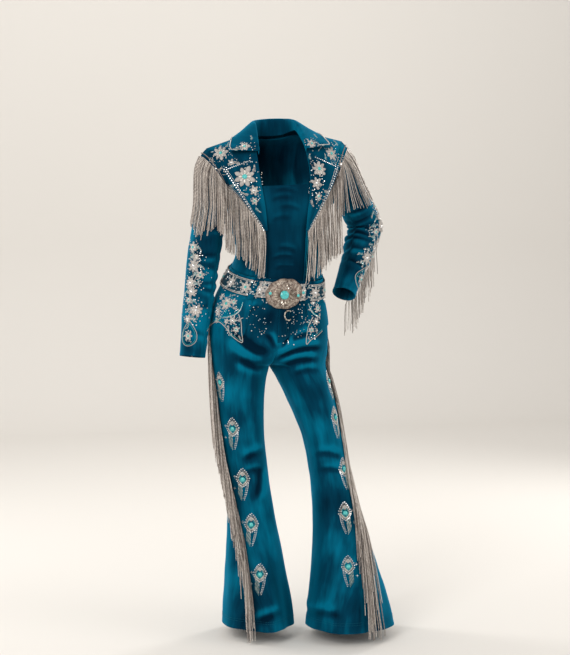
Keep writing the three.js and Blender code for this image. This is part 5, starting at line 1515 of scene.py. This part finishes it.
def medallion(trim, at, size, way):
    """One kite with its stone, rows of beads and stitched leaves, chains below it, and a dotted tail."""
    for share, form, finish, grain, count in (
        (1.0, "stone", SPARKLE, 4.6, 22),
        (0.83, "bead", SILVER, 3.4, 28),
        (0.67, "bead", PEARL, 3.6, 22),
        (0.5, "bead", GLAZE, 3.2, 18),
    ):
        for k in range(count):
            x, y = kite(2 * math.pi * (k + 0.25) / count, share)
            trim.put(form, finish, at.at(x * size, y * size, 0.2), grain * size)
    trim.put("dome", TURQUOISE, at.at(0, -1 * size, 0.6), 14.5 * size)
    for turn in (-0.55, -0.2, 0.2, 0.55):
        leaf = at.sub(0, 9 * size, turn)
        trim.put("petal", THREAD, leaf.at(0, 0, 0.4), 12 * size, leaf.up)
    for k in range(5):
        x = way * (1.5 + 2.9 * k)
        start = -22 + 0.5 * abs(x)
        for step in range(17 - k):
            y = start - 2.7 * step
            finish = (SILVER, PEARL, SILVER, GLAZE)[(k + step) % 4]
            trim.put("bead", finish, at.at((x + 0.05 * way * step) * size, y * size, 0.2), 2.6 * size)
    for step in range(10):
        x, y = -way * (17 - 0.25 * step - 0.11 * step**2), -12 - 5.6 * step
        trim.put("stone", SPARKLE, at.at(x * size, y * size, 0.2), (4.4 - 0.14 * step) * size)
        if step < 8:
            trim.put("bead", PEARL, at.at((x + way * 5.5) * size, (y - 6) * size, 0.2), 3.0 * size)
    for x, y in ((-27, -30), (-26, 6)):
        trim.put("stone", SPARKLE, at.at(-way * x * size, y * size, 0.2), 3.4)
        for k in range(4):
            dot = (3.4 * math.cos(k * math.pi / 2), 3.4 * math.sin(k * math.pi / 2))
            trim.put("bead", PEARL, at.at((-way * x + dot[0]) * size, (y + dot[1]) * size, 0.2), 1.8)


drops = Trim("leg_medallions")
for across, down, size in MEDALLIONS:
    middle = spot(across, down)
    medallion(drops, middle, size, -1 if across < 290 else 1)
drops.sew_on(SLOTS)

# ---- Embroidery on the yokes, lapels and collar ------
# Loose sprays of plain six- and eight-petalled flowers in silver and white thread, with turquoise leaves and
# seed beads, are worked by hand over the chest. Rows of cut stones follow the lapels and the yokes' edges.


def flower(trim, at, size, petals=6, finish=None, centre=SPARKLE, spin=0.0, double=True):
    finish = finish or THREAD
    for k in range(petals):
        angle = spin + 2 * math.pi * k / petals
        foot = at.at(0.07 * size * math.cos(angle), 0.07 * size * math.sin(angle), 0.3)
        trim.put("petal", finish, foot, 0.46 * size * (1 + 0.08 * math.sin(3.7 * k + size)), at.toward(angle))
        if double:
            angle += math.pi / petals
            foot = at.at(0.05 * size * math.cos(angle), 0.05 * size * math.sin(angle), 0.5)
            trim.put("petal", PEARL, foot, 0.27 * size, at.toward(angle))
    trim.put("dome" if size > 24 else "stone", centre, at.at(0, 0, 1.2), 0.24 * size)
    ring = max(6, int(0.5 * size / 1.6))
    for k in range(ring):
        angle = 2 * math.pi * k / ring
        trim.put("bead", PEARL, at.at(0.17 * size * math.cos(angle), 0.17 * size * math.sin(angle), 1.0), 2.1)


def sprig(trim, at, length, bend, leaves=5, finish=None, bud=True):
    """A curved stem with leaves to both sides and a bud at its end. It starts upwards from its spot."""
    finish = finish or GLAZE
    stem, x, y, way = [], 0.0, 0.0, math.pi / 2
    marks = []
    for step in range(13):
        stem.append(at.at(x, y, 0.5)[0])
        marks.append((x, y, way))
        way += bend / 12
        x += length / 12 * math.cos(way)
        y += length / 12 * math.sin(way)
    trim.line(THREAD, 1.1, stem)
    for k in range(leaves):
        px, py, heading = marks[2 + int(k * 9 / max(leaves - 1, 1))]
        for side in (-1, 1):
            thread = finish if (k + (side > 0)) % 2 else THREAD
            out = at.toward(heading + side * 0.85)
            trim.put("leaf", thread, at.at(px, py, 0.3), length * (0.34 - 0.03 * k), out)
    if bud:
        px, py, heading = marks[-1]
        trim.put("petal", THREAD, at.at(px, py, 0.3), 0.3 * length, at.toward(heading))
        trim.put("bead", PEARL, at.at(px, py, 1.0), 2.8)


def seam_of(name, part):
    """The places along one row or column of a panel's grid, and the ways out of the cloth there."""
    return PANELS[name]["top"][part], PANELS[name]["normal"][part]


def read_line(at, length, places):
    return np.array([np.interp(at, length, places[:, k]) for k in range(3)])


def stone_row(trim, points, normals, pitch, size, form="stone", finish=None, lift=0.2):
    """Stones at an even pitch in millimetres along a line of places on a panel."""
    length = lengths(points)
    for at in np.arange(pitch / 2, length[-1], pitch):
        place, out = read_line(at, length, points), read_line(at, length, normals)
        trim.put(form, finish or SPARKLE, (metres(place + out * lift), out), size)


def cord_row(trim, points, normals, thickness, finish, lift=0.4):
    trim.line(finish, thickness, metres(points + normals * lift))


def strew(trim, at, wide, tall, count, seed, small=2.6, large=4.2, finishes=None):
    """Stones strewn over an oval, never closer than their own width."""
    waves = np.random.default_rng(seed)
    placed = []
    for _ in range(count * 6):
        x, y = waves.uniform(-1, 1, 2)
        if x * x + y * y > 1 or any((x * wide - a) ** 2 + (y * tall - b) ** 2 < 20 for a, b in placed):
            continue
        placed.append((x * wide, y * tall))
        finish = (finishes or (SPARKLE, SPARKLE, PEARL, SILVER))[len(placed) % len(finishes or range(4))]
        trim.put("stone", finish, at.at(x * wide, y * tall, 0.2), waves.uniform(small, large))
        if len(placed) >= count:
            break


chest = Trim("jacket_trim")
for side_name, side in SIDES.items():
    lapel, yoke = f"lapel_{side_name}", f"yoke_front_{side_name}"
    stone_row(chest, *seam_of(lapel, np.s_[:, -3]), 8.4, 5.4, lift=0.6)
    stone_row(chest, *seam_of(lapel, np.s_[4:-4, -5]), 4.6, 2.4, "bead", PEARL)
    stone_row(chest, *seam_of(lapel, np.s_[-3, 6:-3]), 6.2, 4.0, lift=0.4)
    stone_row(chest, *seam_of(yoke, np.s_[1, 24:]), 5.0, 3.2)
    stone_row(chest, *seam_of(yoke, np.s_[3, 24:]), 5.0, 2.2, "bead", PEARL)
    cord_row(chest, *seam_of(f"jacket_front_{side_name}", np.s_[2:50, 2]), 0.9, GLAZE, 0.2)

# The collar is edged from one end of its fall, round the turned edge, to the other end.
rows, cols = PANELS["collar"]["top"].shape[:2]
path = [(j, 2) for j in range(rows // 2, rows - 3)] + [(rows - 3, i) for i in range(2, cols - 2)]
path += [(j, cols - 3) for j in range(rows - 3, rows // 2, -1)]
run = seam_of("collar", tuple(np.transpose(path)))
cord_row(chest, *run, 2.4, THREAD, 0.9)
stone_row(chest, *run, 3.3, 2.6, "bead", PEARL, 1.4)
for across, down, size, petals, centre in (
    (244.8, 176.7, 62, 8, TURQUOISE), (254.2, 190.5, 30, 6, SPARKLE), (254.6, 201.0, 24, 6, TURQUOISE),
    (220.8, 153.0, 44, 8, TURQUOISE), (231.5, 163.0, 24, 6, SPARKLE), (244.6, 146.4, 32, 6, TURQUOISE),
    (319.2, 168.8, 46, 8, TURQUOISE), (316.6, 183.0, 38, 6, SPARKLE), (318.6, 196.4, 26, 6, TURQUOISE),
    (331.2, 153.6, 40, 8, TURQUOISE), (341.2, 164.5, 22, 6, SPARKLE), (311.6, 143.6, 30, 6, TURQUOISE),
):  # fmt: skip
    flower(chest, spot(across, down), size, petals, centre=centre, spin=0.3 * across)
for across, down, turn, length, bend in (
    (252, 172, -0.9, 20, 1.0), (236, 184, 2.4, 20, -1.2), (240, 165, 0.6, 22, 1.1),
    (256, 207, 3.3, 18, 0.9), (249, 194, 2.0, 18, -1.0), (213, 158, 2.6, 20, 1.2),
    (226, 147, -0.7, 20, 0.9), (222, 166, 3.0, 22, -1.0), (236, 152, -1.6, 16, 0.8),
    (251, 140, -0.3, 16, 0.9), (238, 150, 1.8, 14, -0.9), (326, 160, -0.8, 20, 0.9),
    (311, 160, 0.6, 18, -1.0), (324, 190, -2.4, 20, 1.1), (312, 199, 2.8, 20, 1.0),
    (323, 204, 3.4, 16, -0.9), (337, 146, -0.6, 18, 1.0), (338, 172, 3.2, 18, -1.0),
    (322, 149, 1.4, 16, 1.0), (317, 138, -0.4, 14, 0.8),
):  # fmt: skip
    sprig(chest, spot(across, down, turn), length, bend, finish=GLAZE if int(across) % 3 else THREAD)
for across, down, wide, tall, count in (
    (250, 182, 34, 66, 34), (318, 184, 26, 70, 34), (222, 160, 40, 46, 44), (335, 158, 34, 46, 40),
    (246, 146, 26, 18, 16), (311, 143, 24, 18, 16),
):  # fmt: skip
    strew(chest, spot(across, down), wide * 1.15, tall * 1.15, int(1.7 * count), int(across))

# The back yoke carries one large flower with sprays to both sides.
for x, height, size, petals in (
    (0, 1420, 66, 8), (-62, 1408, 40, 6), (62, 1408, 40, 6), (-112, 1432, 32, 6), (112, 1432, 32, 6),
    (-34, 1450, 26, 6), (34, 1450, 26, 6),
):  # fmt: skip
    place = torso_at(np.array([float(x)]), index_at(TORSO, height), True)[0]
    place, normal, _, _ = GROUND.find_nearest(Vector(metres(place)))
    at = Spot(place, (0, 1, 0.1))
    flower(chest, at, size, petals, centre=TURQUOISE if petals == 8 else SPARKLE, spin=0.4)
    for turn in (0.9, -0.9, 2.4, -2.4):
        sprig(chest, at.beside(0.42 * size, turn), 0.3 * size + 8, math.copysign(0.9, turn))
    strew(chest, at, size * 0.9, size * 0.8, 14, int(400 + x), finishes=(SPARKLE, PEARL))
stone_row(chest, *seam_of("yoke_back", 1), 5.0, 3.2)
chest.sew_on(SLOTS)

# ---- Sleeve vines ------
# A vine in silver thread climbs the outside of each arm from a looped motif above the cuff, with flowers to
# both sides, turquoise leaves and strewn stones. It is worked before the sleeve's seams are closed.


def on_sleeve(name, turn, along, angle=0.0):
    place, out, down = sleeve_face(name, turn, along, 0.004)
    return Spot(metres(place), out, tuple(-unit(down)), angle)


def loop_place(angle):
    """A place on the looped motif's outline, which narrows upwards."""
    x, y = math.cos(angle), math.sin(angle)
    return 25 * x * (1 - 0.72 * max(y, 0) ** 2.2), 26 * y * (1.9 if y > 0 else 1)


# For each arm: the middle of the vine round it, where it starts and ends down the arm, and how far it swings.
VINES = {"right": (0.36, 0.485, 0.955, 0.035), "left": (0.385, 0.47, 0.95, 0.035)}
for side_name, side in SIDES.items():
    middle, start, end, swing = VINES[side_name]
    trim = Trim(f"sleeve_trim_{side_name}")
    share = np.linspace(0, 1, 34)
    turn = middle + swing * np.sin(share * 13)
    stem = [on_sleeve(side_name, t, a).at(0, 0, 0.6)[0] for t, a in zip(turn, mix(start, end - 0.10, share))]
    trim.line(THREAD, 1.6, stem)
    for k in range(9):
        share = (k + 0.5) / 9
        lean = math.sin(share * 13)
        way = 1 if k % 2 else -1
        along = mix(start, end - 0.1, share)
        at = on_sleeve(side_name, middle + swing * lean - 0.03 * way, along, 0.5 * way)
        size = (34, 24, 40, 26, 36)[k % 5]
        flower(trim, at, size, 8 if size > 34 else 6, centre=TURQUOISE if k % 3 == 0 else SPARKLE, spin=k)
        for angle in (1.0, 2.3, -1.0, -2.3):
            if angle * way > 0:
                sprig(trim, at.beside(0.4 * size, angle), 17, 0.9 * way)
        across = on_sleeve(side_name, middle + swing * lean + 0.05 * way, along, -1.2 * way)
        sprig(trim, across, 22, -way)
        strew(trim, at, 36, 30, 22, 500 + 10 * k + side)
    loop = on_sleeve(side_name, middle - 0.005, end - 0.045)
    outline = [loop_place(angle) for angle in np.linspace(0, 2 * math.pi, 40)]
    for grow, finish, thick in ((1.0, THREAD, 1.9), (0.84, GLAZE, 1.2)):
        trim.line(finish, thick, [loop.at(x * grow, y * grow - 4, 0.6)[0] for x, y in outline])
    flower(trim, loop, 30, 6, centre=TURQUOISE)
    strew(trim, loop, 18, 20, 12, 77, finishes=(PEARL, SPARKLE))
    trim.sew_on(SLOTS)

# ---- Belt embroidery ------
# The strap's face carries silver flowers with leafy sprigs, stones at their corners and strewn stones between
# them, inside two silver cords and two rows of seed beads. The loops pass over bare strap.
strap = Trim("belt_trim")
ring = waist_ring(round_about[None, :], np.array([[BELT["low"]], [BELT["high"]]]))
circle = float(np.linalg.norm(np.diff(np.concatenate([ring[0], ring[0, :1]]), axis=0), axis=1).sum())


def read_grid(grid, u, v):
    """A place between the places of an even grid, u along its rows and v along its columns, each 0 to 1."""
    rows, cols = grid.shape[:2]
    u, v = np.broadcast_arrays(np.asarray(u, float) * (rows - 1), np.asarray(v, float) * (cols - 1))
    i, j = np.clip(u.astype(int), 0, rows - 2), np.clip(v.astype(int), 0, cols - 2)
    du, dv = (u - i)[..., None], (v - j)[..., None]
    return mix(mix(grid[i, j], grid[i + 1, j], du), mix(grid[i, j + 1], grid[i + 1, j + 1], du), dv)


BELT_GRID = waist_ring(np.linspace(0, 1, 801)[None, :], np.linspace(BELT["low"], BELT["high"], 11)[:, None])


def on_belt(s, height):
    share = (height - BELT["low"]) / (BELT["high"] - BELT["low"])
    read = lambda up, along: read_grid(BELT_GRID, up, along)
    one = read(share, np.minimum(s + 0.004, 1)) - read(share, np.maximum(s - 0.004, 0))
    other = read(np.minimum(share + 0.05, 1), s) - read(np.maximum(share - 0.05, 0), s)
    out = unit(np.cross(one, other))
    return read(share, s) + out * (BELT["lift"] + BELT["thick"] + 0.05), out


def clear_of_loops(s):
    """How far round the waist the nearest loop is, in millimetres."""
    marks = np.array([*LOOPS.values()])
    return np.abs((np.asarray(s)[..., None] - marks + 0.5) % 1 - 0.5).min(-1) * circle


for height in (BELT["low"] + 2.2, BELT["high"] - 2.2):
    run, out = on_belt(np.linspace(0, 1, 240), height + np.zeros(240))
    strap.line(THREAD, 2.6, metres(run + out * 0.3))
course = np.arange(0, 1, 3.3 / circle)
course = course[clear_of_loops(course) > 8.5]
for height in (BELT["low"] + 5.6, BELT["high"] - 5.6):
    for place, out in zip(*on_belt(course, height + 0 * course)):
        strap.put("bead", PEARL, (metres(place), out), 2.7)
marks = sorted([*LOOPS.values(), 1 + min(LOOPS.values())])
for k, (start, stop) in enumerate(zip(marks, marks[1:])):
    count = max(2, round((stop - start) * circle / 43))
    for j in range(count):
        at = (start + (stop - start) * (j + 0.5) / count) % 1
        place, out = on_belt(at, 1079.0)
        middle = Spot(metres(place), out)
        flower(strap, middle, 36, 7, centre=(SPARKLE, TURQUOISE)[j % 2], spin=0.5)
        for side in (-1, 1):
            for up in (-1, 1):
                corner = middle.sub(side * 11, up * 11, -side * (1.0 if up > 0 else 2.2))
                sprig(strap, corner, 12, 0.8 * side)
                strap.put("stone", SPARKLE, middle.at(side * 19, up * 15, 0.2), 3.2)
        strew(strap, middle, 42, 38, 22, 7 * k + j)
strap.sew_on(SLOTS)

# ---- Buckle ------
# A cast trophy buckle in antique silver, curved to the waist: a scalloped plate with a roped edge, a ring of
# scrolls, and two rows of petals round a polished turquoise. It hooks through the far end of the strap.
BUCKLE = {"x": 4, "height": 1070, "half": 54, "tall": 47, "lift": BELT["lift"] + BELT["thick"] + 1}

# The waist's surface behind the buckle, read once on a grid with a place every millimetre.
SKIN_LEFT, SKIN_RIGHT, SKIN_LOW, SKIN_HIGH = -70, 78, 1012, 1128
across, upward = np.meshgrid(
    np.linspace(SKIN_LEFT, SKIN_RIGHT, SKIN_RIGHT - SKIN_LEFT + 1),
    np.linspace(SKIN_LOW, SKIN_HIGH, SKIN_HIGH - SKIN_LOW + 1),
)
halves = [hip(name, np.abs(across), upward) for name in ("right", "left")]
SKIN = np.where((across < 0)[..., None], *halves)


def skin(x, height):
    share = (height - SKIN_LOW) / (SKIN_HIGH - SKIN_LOW)
    return read_grid(SKIN, share, (x - SKIN_LEFT) / (SKIN_RIGHT - SKIN_LEFT))


def buckle_places(angle, share, lift):
    scallop = 1 + 0.045 * np.abs(np.cos(5 * angle)) - 0.02 * np.cos(2 * angle) ** 2
    x = BUCKLE["x"] + BUCKLE["half"] * share * scallop * np.cos(angle)
    height = BUCKLE["height"] + BUCKLE["tall"] * share * scallop * np.sin(angle)
    across, up = skin(x + 3, height) - skin(x - 3, height), skin(x, height + 3) - skin(x, height - 3)
    return skin(x, height) + unit(np.cross(across, up)) * (np.asarray(lift) + 0 * x)[..., None]


def buckle_relief(angle, share):
    """Height over the plate's back at an angle and a share of the way to the rim."""
    ring = lambda at, wide: bell(share - at, wide)
    dome = 2.4 + 2.2 * (1 - share**2)
    rays = ring(0.47, 0.12) * 1.1 * np.abs(np.cos(9 * angle)) ** 0.7
    rope = ring(0.945, 0.03) * (1.6 + 0.5 * np.sin(90 * angle + 60 * share))
    wire = ring(0.635, 0.014) * 1.0 + ring(0.875, 0.014) * 1.0
    edge = 1 - 0.55 * ease((share - 0.965) / 0.035)
    return mix((dome + rays + rope + wire) * edge, 3.4, ease((0.29 - share) / 0.02))


def on_plate(angle, share, lift=0.0):
    angle, share = np.broadcast_arrays(np.asarray(angle, float), np.asarray(share, float))
    high = BUCKLE["lift"] + buckle_relief(angle, share) + lift
    place = buckle_places(angle, share, high)
    return metres(place), buckle_places(angle, share, high + 1) - place


angle = np.linspace(0, 2 * np.pi, steps(720, 3))[:-1]
share = np.concatenate([np.linspace(0.05, 0.98, steps(130, 3)), [1.0]])
A, S = np.meshgrid(angle, share)
front = buckle_places(A, S, BUCKLE["lift"] + buckle_relief(A, S))
back = buckle_places(A[[0, -1]], S[[0, -1]], BUCKLE["lift"])
n, m = len(angle), len(share)
points = np.concatenate([front.reshape(-1, 3), back.reshape(-1, 3)])
k, nxt = np.arange(n), (np.arange(n) + 1) % n
# Rings m and m + 1 are the inner and outer edges of the plate's back.
bands = [(j, j + 1) for j in range(m - 1)] + [(m - 1, m + 1), (m + 1, m), (m, 0)]
faces = [np.stack([a * n + k, b * n + k, b * n + nxt, a * n + nxt], 1) for a, b in bands]
plate = mesh_from("buckle_plate", points, np.concatenate(faces))
plate.data.materials.append(metal("old_silver", (0.17, 0.125, 0.105), (0.42, 0.35, 0.30), 0.45))
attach(plate, "root")
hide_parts("buckle")
for name in ("centre", "left", "right"):
    stone = bpy.data.objects[f"buckle_stone_{name}"]
    stone.data.materials.clear()
    stone.data.materials.append(TURQUOISE)

cast = Trim("buckle_relief")


def cast_on(form, angle, share, size, finish=SILVER, lift=0.0):
    place, out = on_plate(angle, share, lift)
    after, _ = on_plate(angle, share + 0.02, lift)
    cast.put(form, finish, (place, out), size, tuple(unit(after - place)))


for k in range(18):
    cast_on("petal", 2 * math.pi * k / 18, 0.33, 12.5, lift=0.9)
    cast_on("petal", 2 * math.pi * (k + 0.5) / 18, 0.5, 8.5, lift=0.7)
for k in range(36):
    cast_on("bead", 2 * math.pi * k / 36, 0.31, 2.4)
for k in range(64):
    cast_on("bead", 2 * math.pi * k / 64, 0.905, 2.6)
for k in range(12):
    middle = 2 * math.pi * (k + 0.5) / 12
    if min(abs(middle - side) for side in (0, math.pi, 2 * math.pi)) < 0.2:
        continue
    for hand in (-1, 1):
        turn = np.linspace(0.4, 2 * math.pi * 1.25, 26)
        reach = 0.105 * (1 - turn / 10.5)
        bearing = middle + hand * (0.125 - reach * np.cos(turn) * 1.25)
        scroll, _ = on_plate(bearing, 0.755 + reach * np.sin(turn), 0.6)
        cast.line(SILVER, 1.7, scroll)
        cast_on("bead", middle + hand * 0.125, 0.755, 2.4)
    cast_on("leaf", middle, 0.665, 7.5)
for x in (-41, 41):
    for j in range(16):
        px = (x + 6.2 * math.cos(j * math.pi / 8)) / BUCKLE["half"]
        py = 6.2 * math.sin(j * math.pi / 8) / BUCKLE["tall"]
        cast_on("bead", math.atan2(py, px), math.hypot(px, py), 2.4, lift=0.6)
cast.sew_on({**SLOTS, "antique_silver": "silver"})

# ---- Hip panels, studs and hem stitching ------
# Each hip has a shape edged with silver cord and filled with flowers and beads, with its point towards the
# thigh. Small studs and one crescent lie over the front, and tonal stitches hold the hem, fly and pockets.
hips = Trim("hip_trim")


def along_sight(places):
    """Places on the cloth along a smooth line through places as they are seen."""
    fine = row_at(table("across down", *places), np.linspace(0, len(places) - 1, 12 * len(places)))
    return [sight(a, b) for a, b in zip(fine["across"], fine["down"])]


def edging(trim, places, finish, thickness, lift=0.5):
    path = along_sight(places)
    trim.line(finish, thickness, [p + n * lift * 0.001 for p, n in path])
    return path


for outline in (
    [
        (207, 331), (212, 324), (219, 322), (226, 328), (232, 336),
        (242, 342.5), (241.5, 331), (241, 322), (238.5, 314),
    ],
    [(322, 331), (317, 336), (311, 340), (306.5, 344), (307, 334), (309, 325), (313, 317)],
):  # fmt: skip
    edging(hips, outline, THREAD, 2.6)
    edging(hips, [(a, b - 1.9) for a, b in outline[:-1]], GLAZE, 1.0)
for outline in (
    [(242.7, 302), (240.5, 308.5), (236, 313), (229.5, 315.8), (222.5, 317)],
    [(308.5, 303), (311, 309.5), (315, 314), (319.5, 316.5)],
):
    for p, n in edging(hips, outline, GLAZE, 1.8)[::2]:
        hips.put("bead", PEARL, (p + Vector((0, 0, -0.0032)), n), 2.8)
for across, down, size, petals, centre in (
    (226.5, 303.5, 40, 8, TURQUOISE), (218, 311.5, 30, 6, SPARKLE), (234, 302, 22, 6, TURQUOISE),
    (222, 296.5, 22, 6, SPARKLE), (232.5, 320.5, 26, 6, SPARKLE), (236, 329.5, 22, 6, TURQUOISE),
    (216.5, 320, 22, 6, TURQUOISE), (226.5, 321.5, 18, 6, SPARKLE), (317.5, 308.5, 24, 6, TURQUOISE),
    (316, 321.5, 24, 6, SPARKLE), (311.5, 330, 20, 6, TURQUOISE), (313, 303, 18, 6, SPARKLE),
):  # fmt: skip
    flower(hips, spot(across, down), size, petals, centre=centre, spin=across)
for across, down, turn, length in (
    (232, 308, -1.3, 20), (222, 306, 1.3, 22), (214, 306, 0.5, 18), (229, 297, -0.6, 18), (217, 300, 0.8, 18),
    (229, 325, 2.6, 16), (238, 322, -0.3, 16), (239, 335, 3.0, 16), (222, 318, 1.4, 18), (212, 318, 0.2, 16),
    (320, 313, 2.4, 16), (313, 313, 0.4, 16), (311, 324, 0.6, 14), (317, 328, 2.8, 16), (308.5, 337, 3.0, 12),
):  # fmt: skip
    thread = GLAZE if length % 4 else THREAD
    sprig(hips, spot(across, down, turn), length, math.copysign(0.9, turn), finish=thread)
for across, down, wide, tall, count in (
    (225, 306, 42, 34, 60), (232, 326, 26, 34, 40), (217, 317, 22, 18, 18),
    (316, 309, 20, 34, 26), (313, 328, 18, 36, 28),
):  # fmt: skip
    strew(hips, spot(across, down), wide, tall, count, int(down), finishes=(PEARL, SPARKLE, GLAZE, PEARL))
STUDS = [(256, 321, 44, 52, 30), (297, 320, 34, 52, 40), (289, 340, 40, 16, 8)]
for across, down, wide, tall, count in STUDS:
    strew(hips, spot(across, down), wide, tall, count, across, small=2.0)
moon = spot(288.5, 315.5)
bend = np.linspace(0.9, 2 * math.pi - 0.9, 30)
arc = [moon.at(12.5 * math.cos(a), 14.5 * math.sin(a), 1.0)[0] for a in bend]
moon_path = 1000 * np.array(arc) + (0, 0, 1500)
swelling = lambda n: 0.12 + 0.88 * np.sin(np.linspace(0, np.pi, n))
crescent = cords("hip_crescent", [moon_path], 4.4, SILVER, 8, swelling)
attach(crescent, "root")

# Topstitching: tonal thread in even stitches along the fly, the pockets, the waistband and the hems.
TONAL = satin("tonal_thread", (0.0, 0.05, 0.085), (0.01, 0.16, 0.22), 0.5)


def stitch_row(trim, points, normals, pitch=3.6, size=3.0):
    length = lengths(points)
    for at in np.arange(pitch, length[-1] - 1, pitch * LEVEL):
        place, after = read_line(at, length, points), read_line(at + 1.0, length, points)
        out = read_line(at, length, normals)
        trim.put("stitch", TONAL, (metres(place - out * 0.1), out), size, tuple(unit(after - place)))


for name in SIDES:
    for part in ("front", "back"):
        for row in (4, 5):
            stitch_row(hips, *seam_of(f"trouser_{part}_{name}", row), 5.2, 3.4)
    stitch_row(hips, *seam_of(f"pocket_{name}", np.s_[:, 2]))
for column in (-2, -4):
    stitch_row(hips, *seam_of("fly", np.s_[2:, column]))
for row in (2, -3):
    stitch_row(hips, *seam_of("waistband", row))
hips.sew_on(SLOTS)
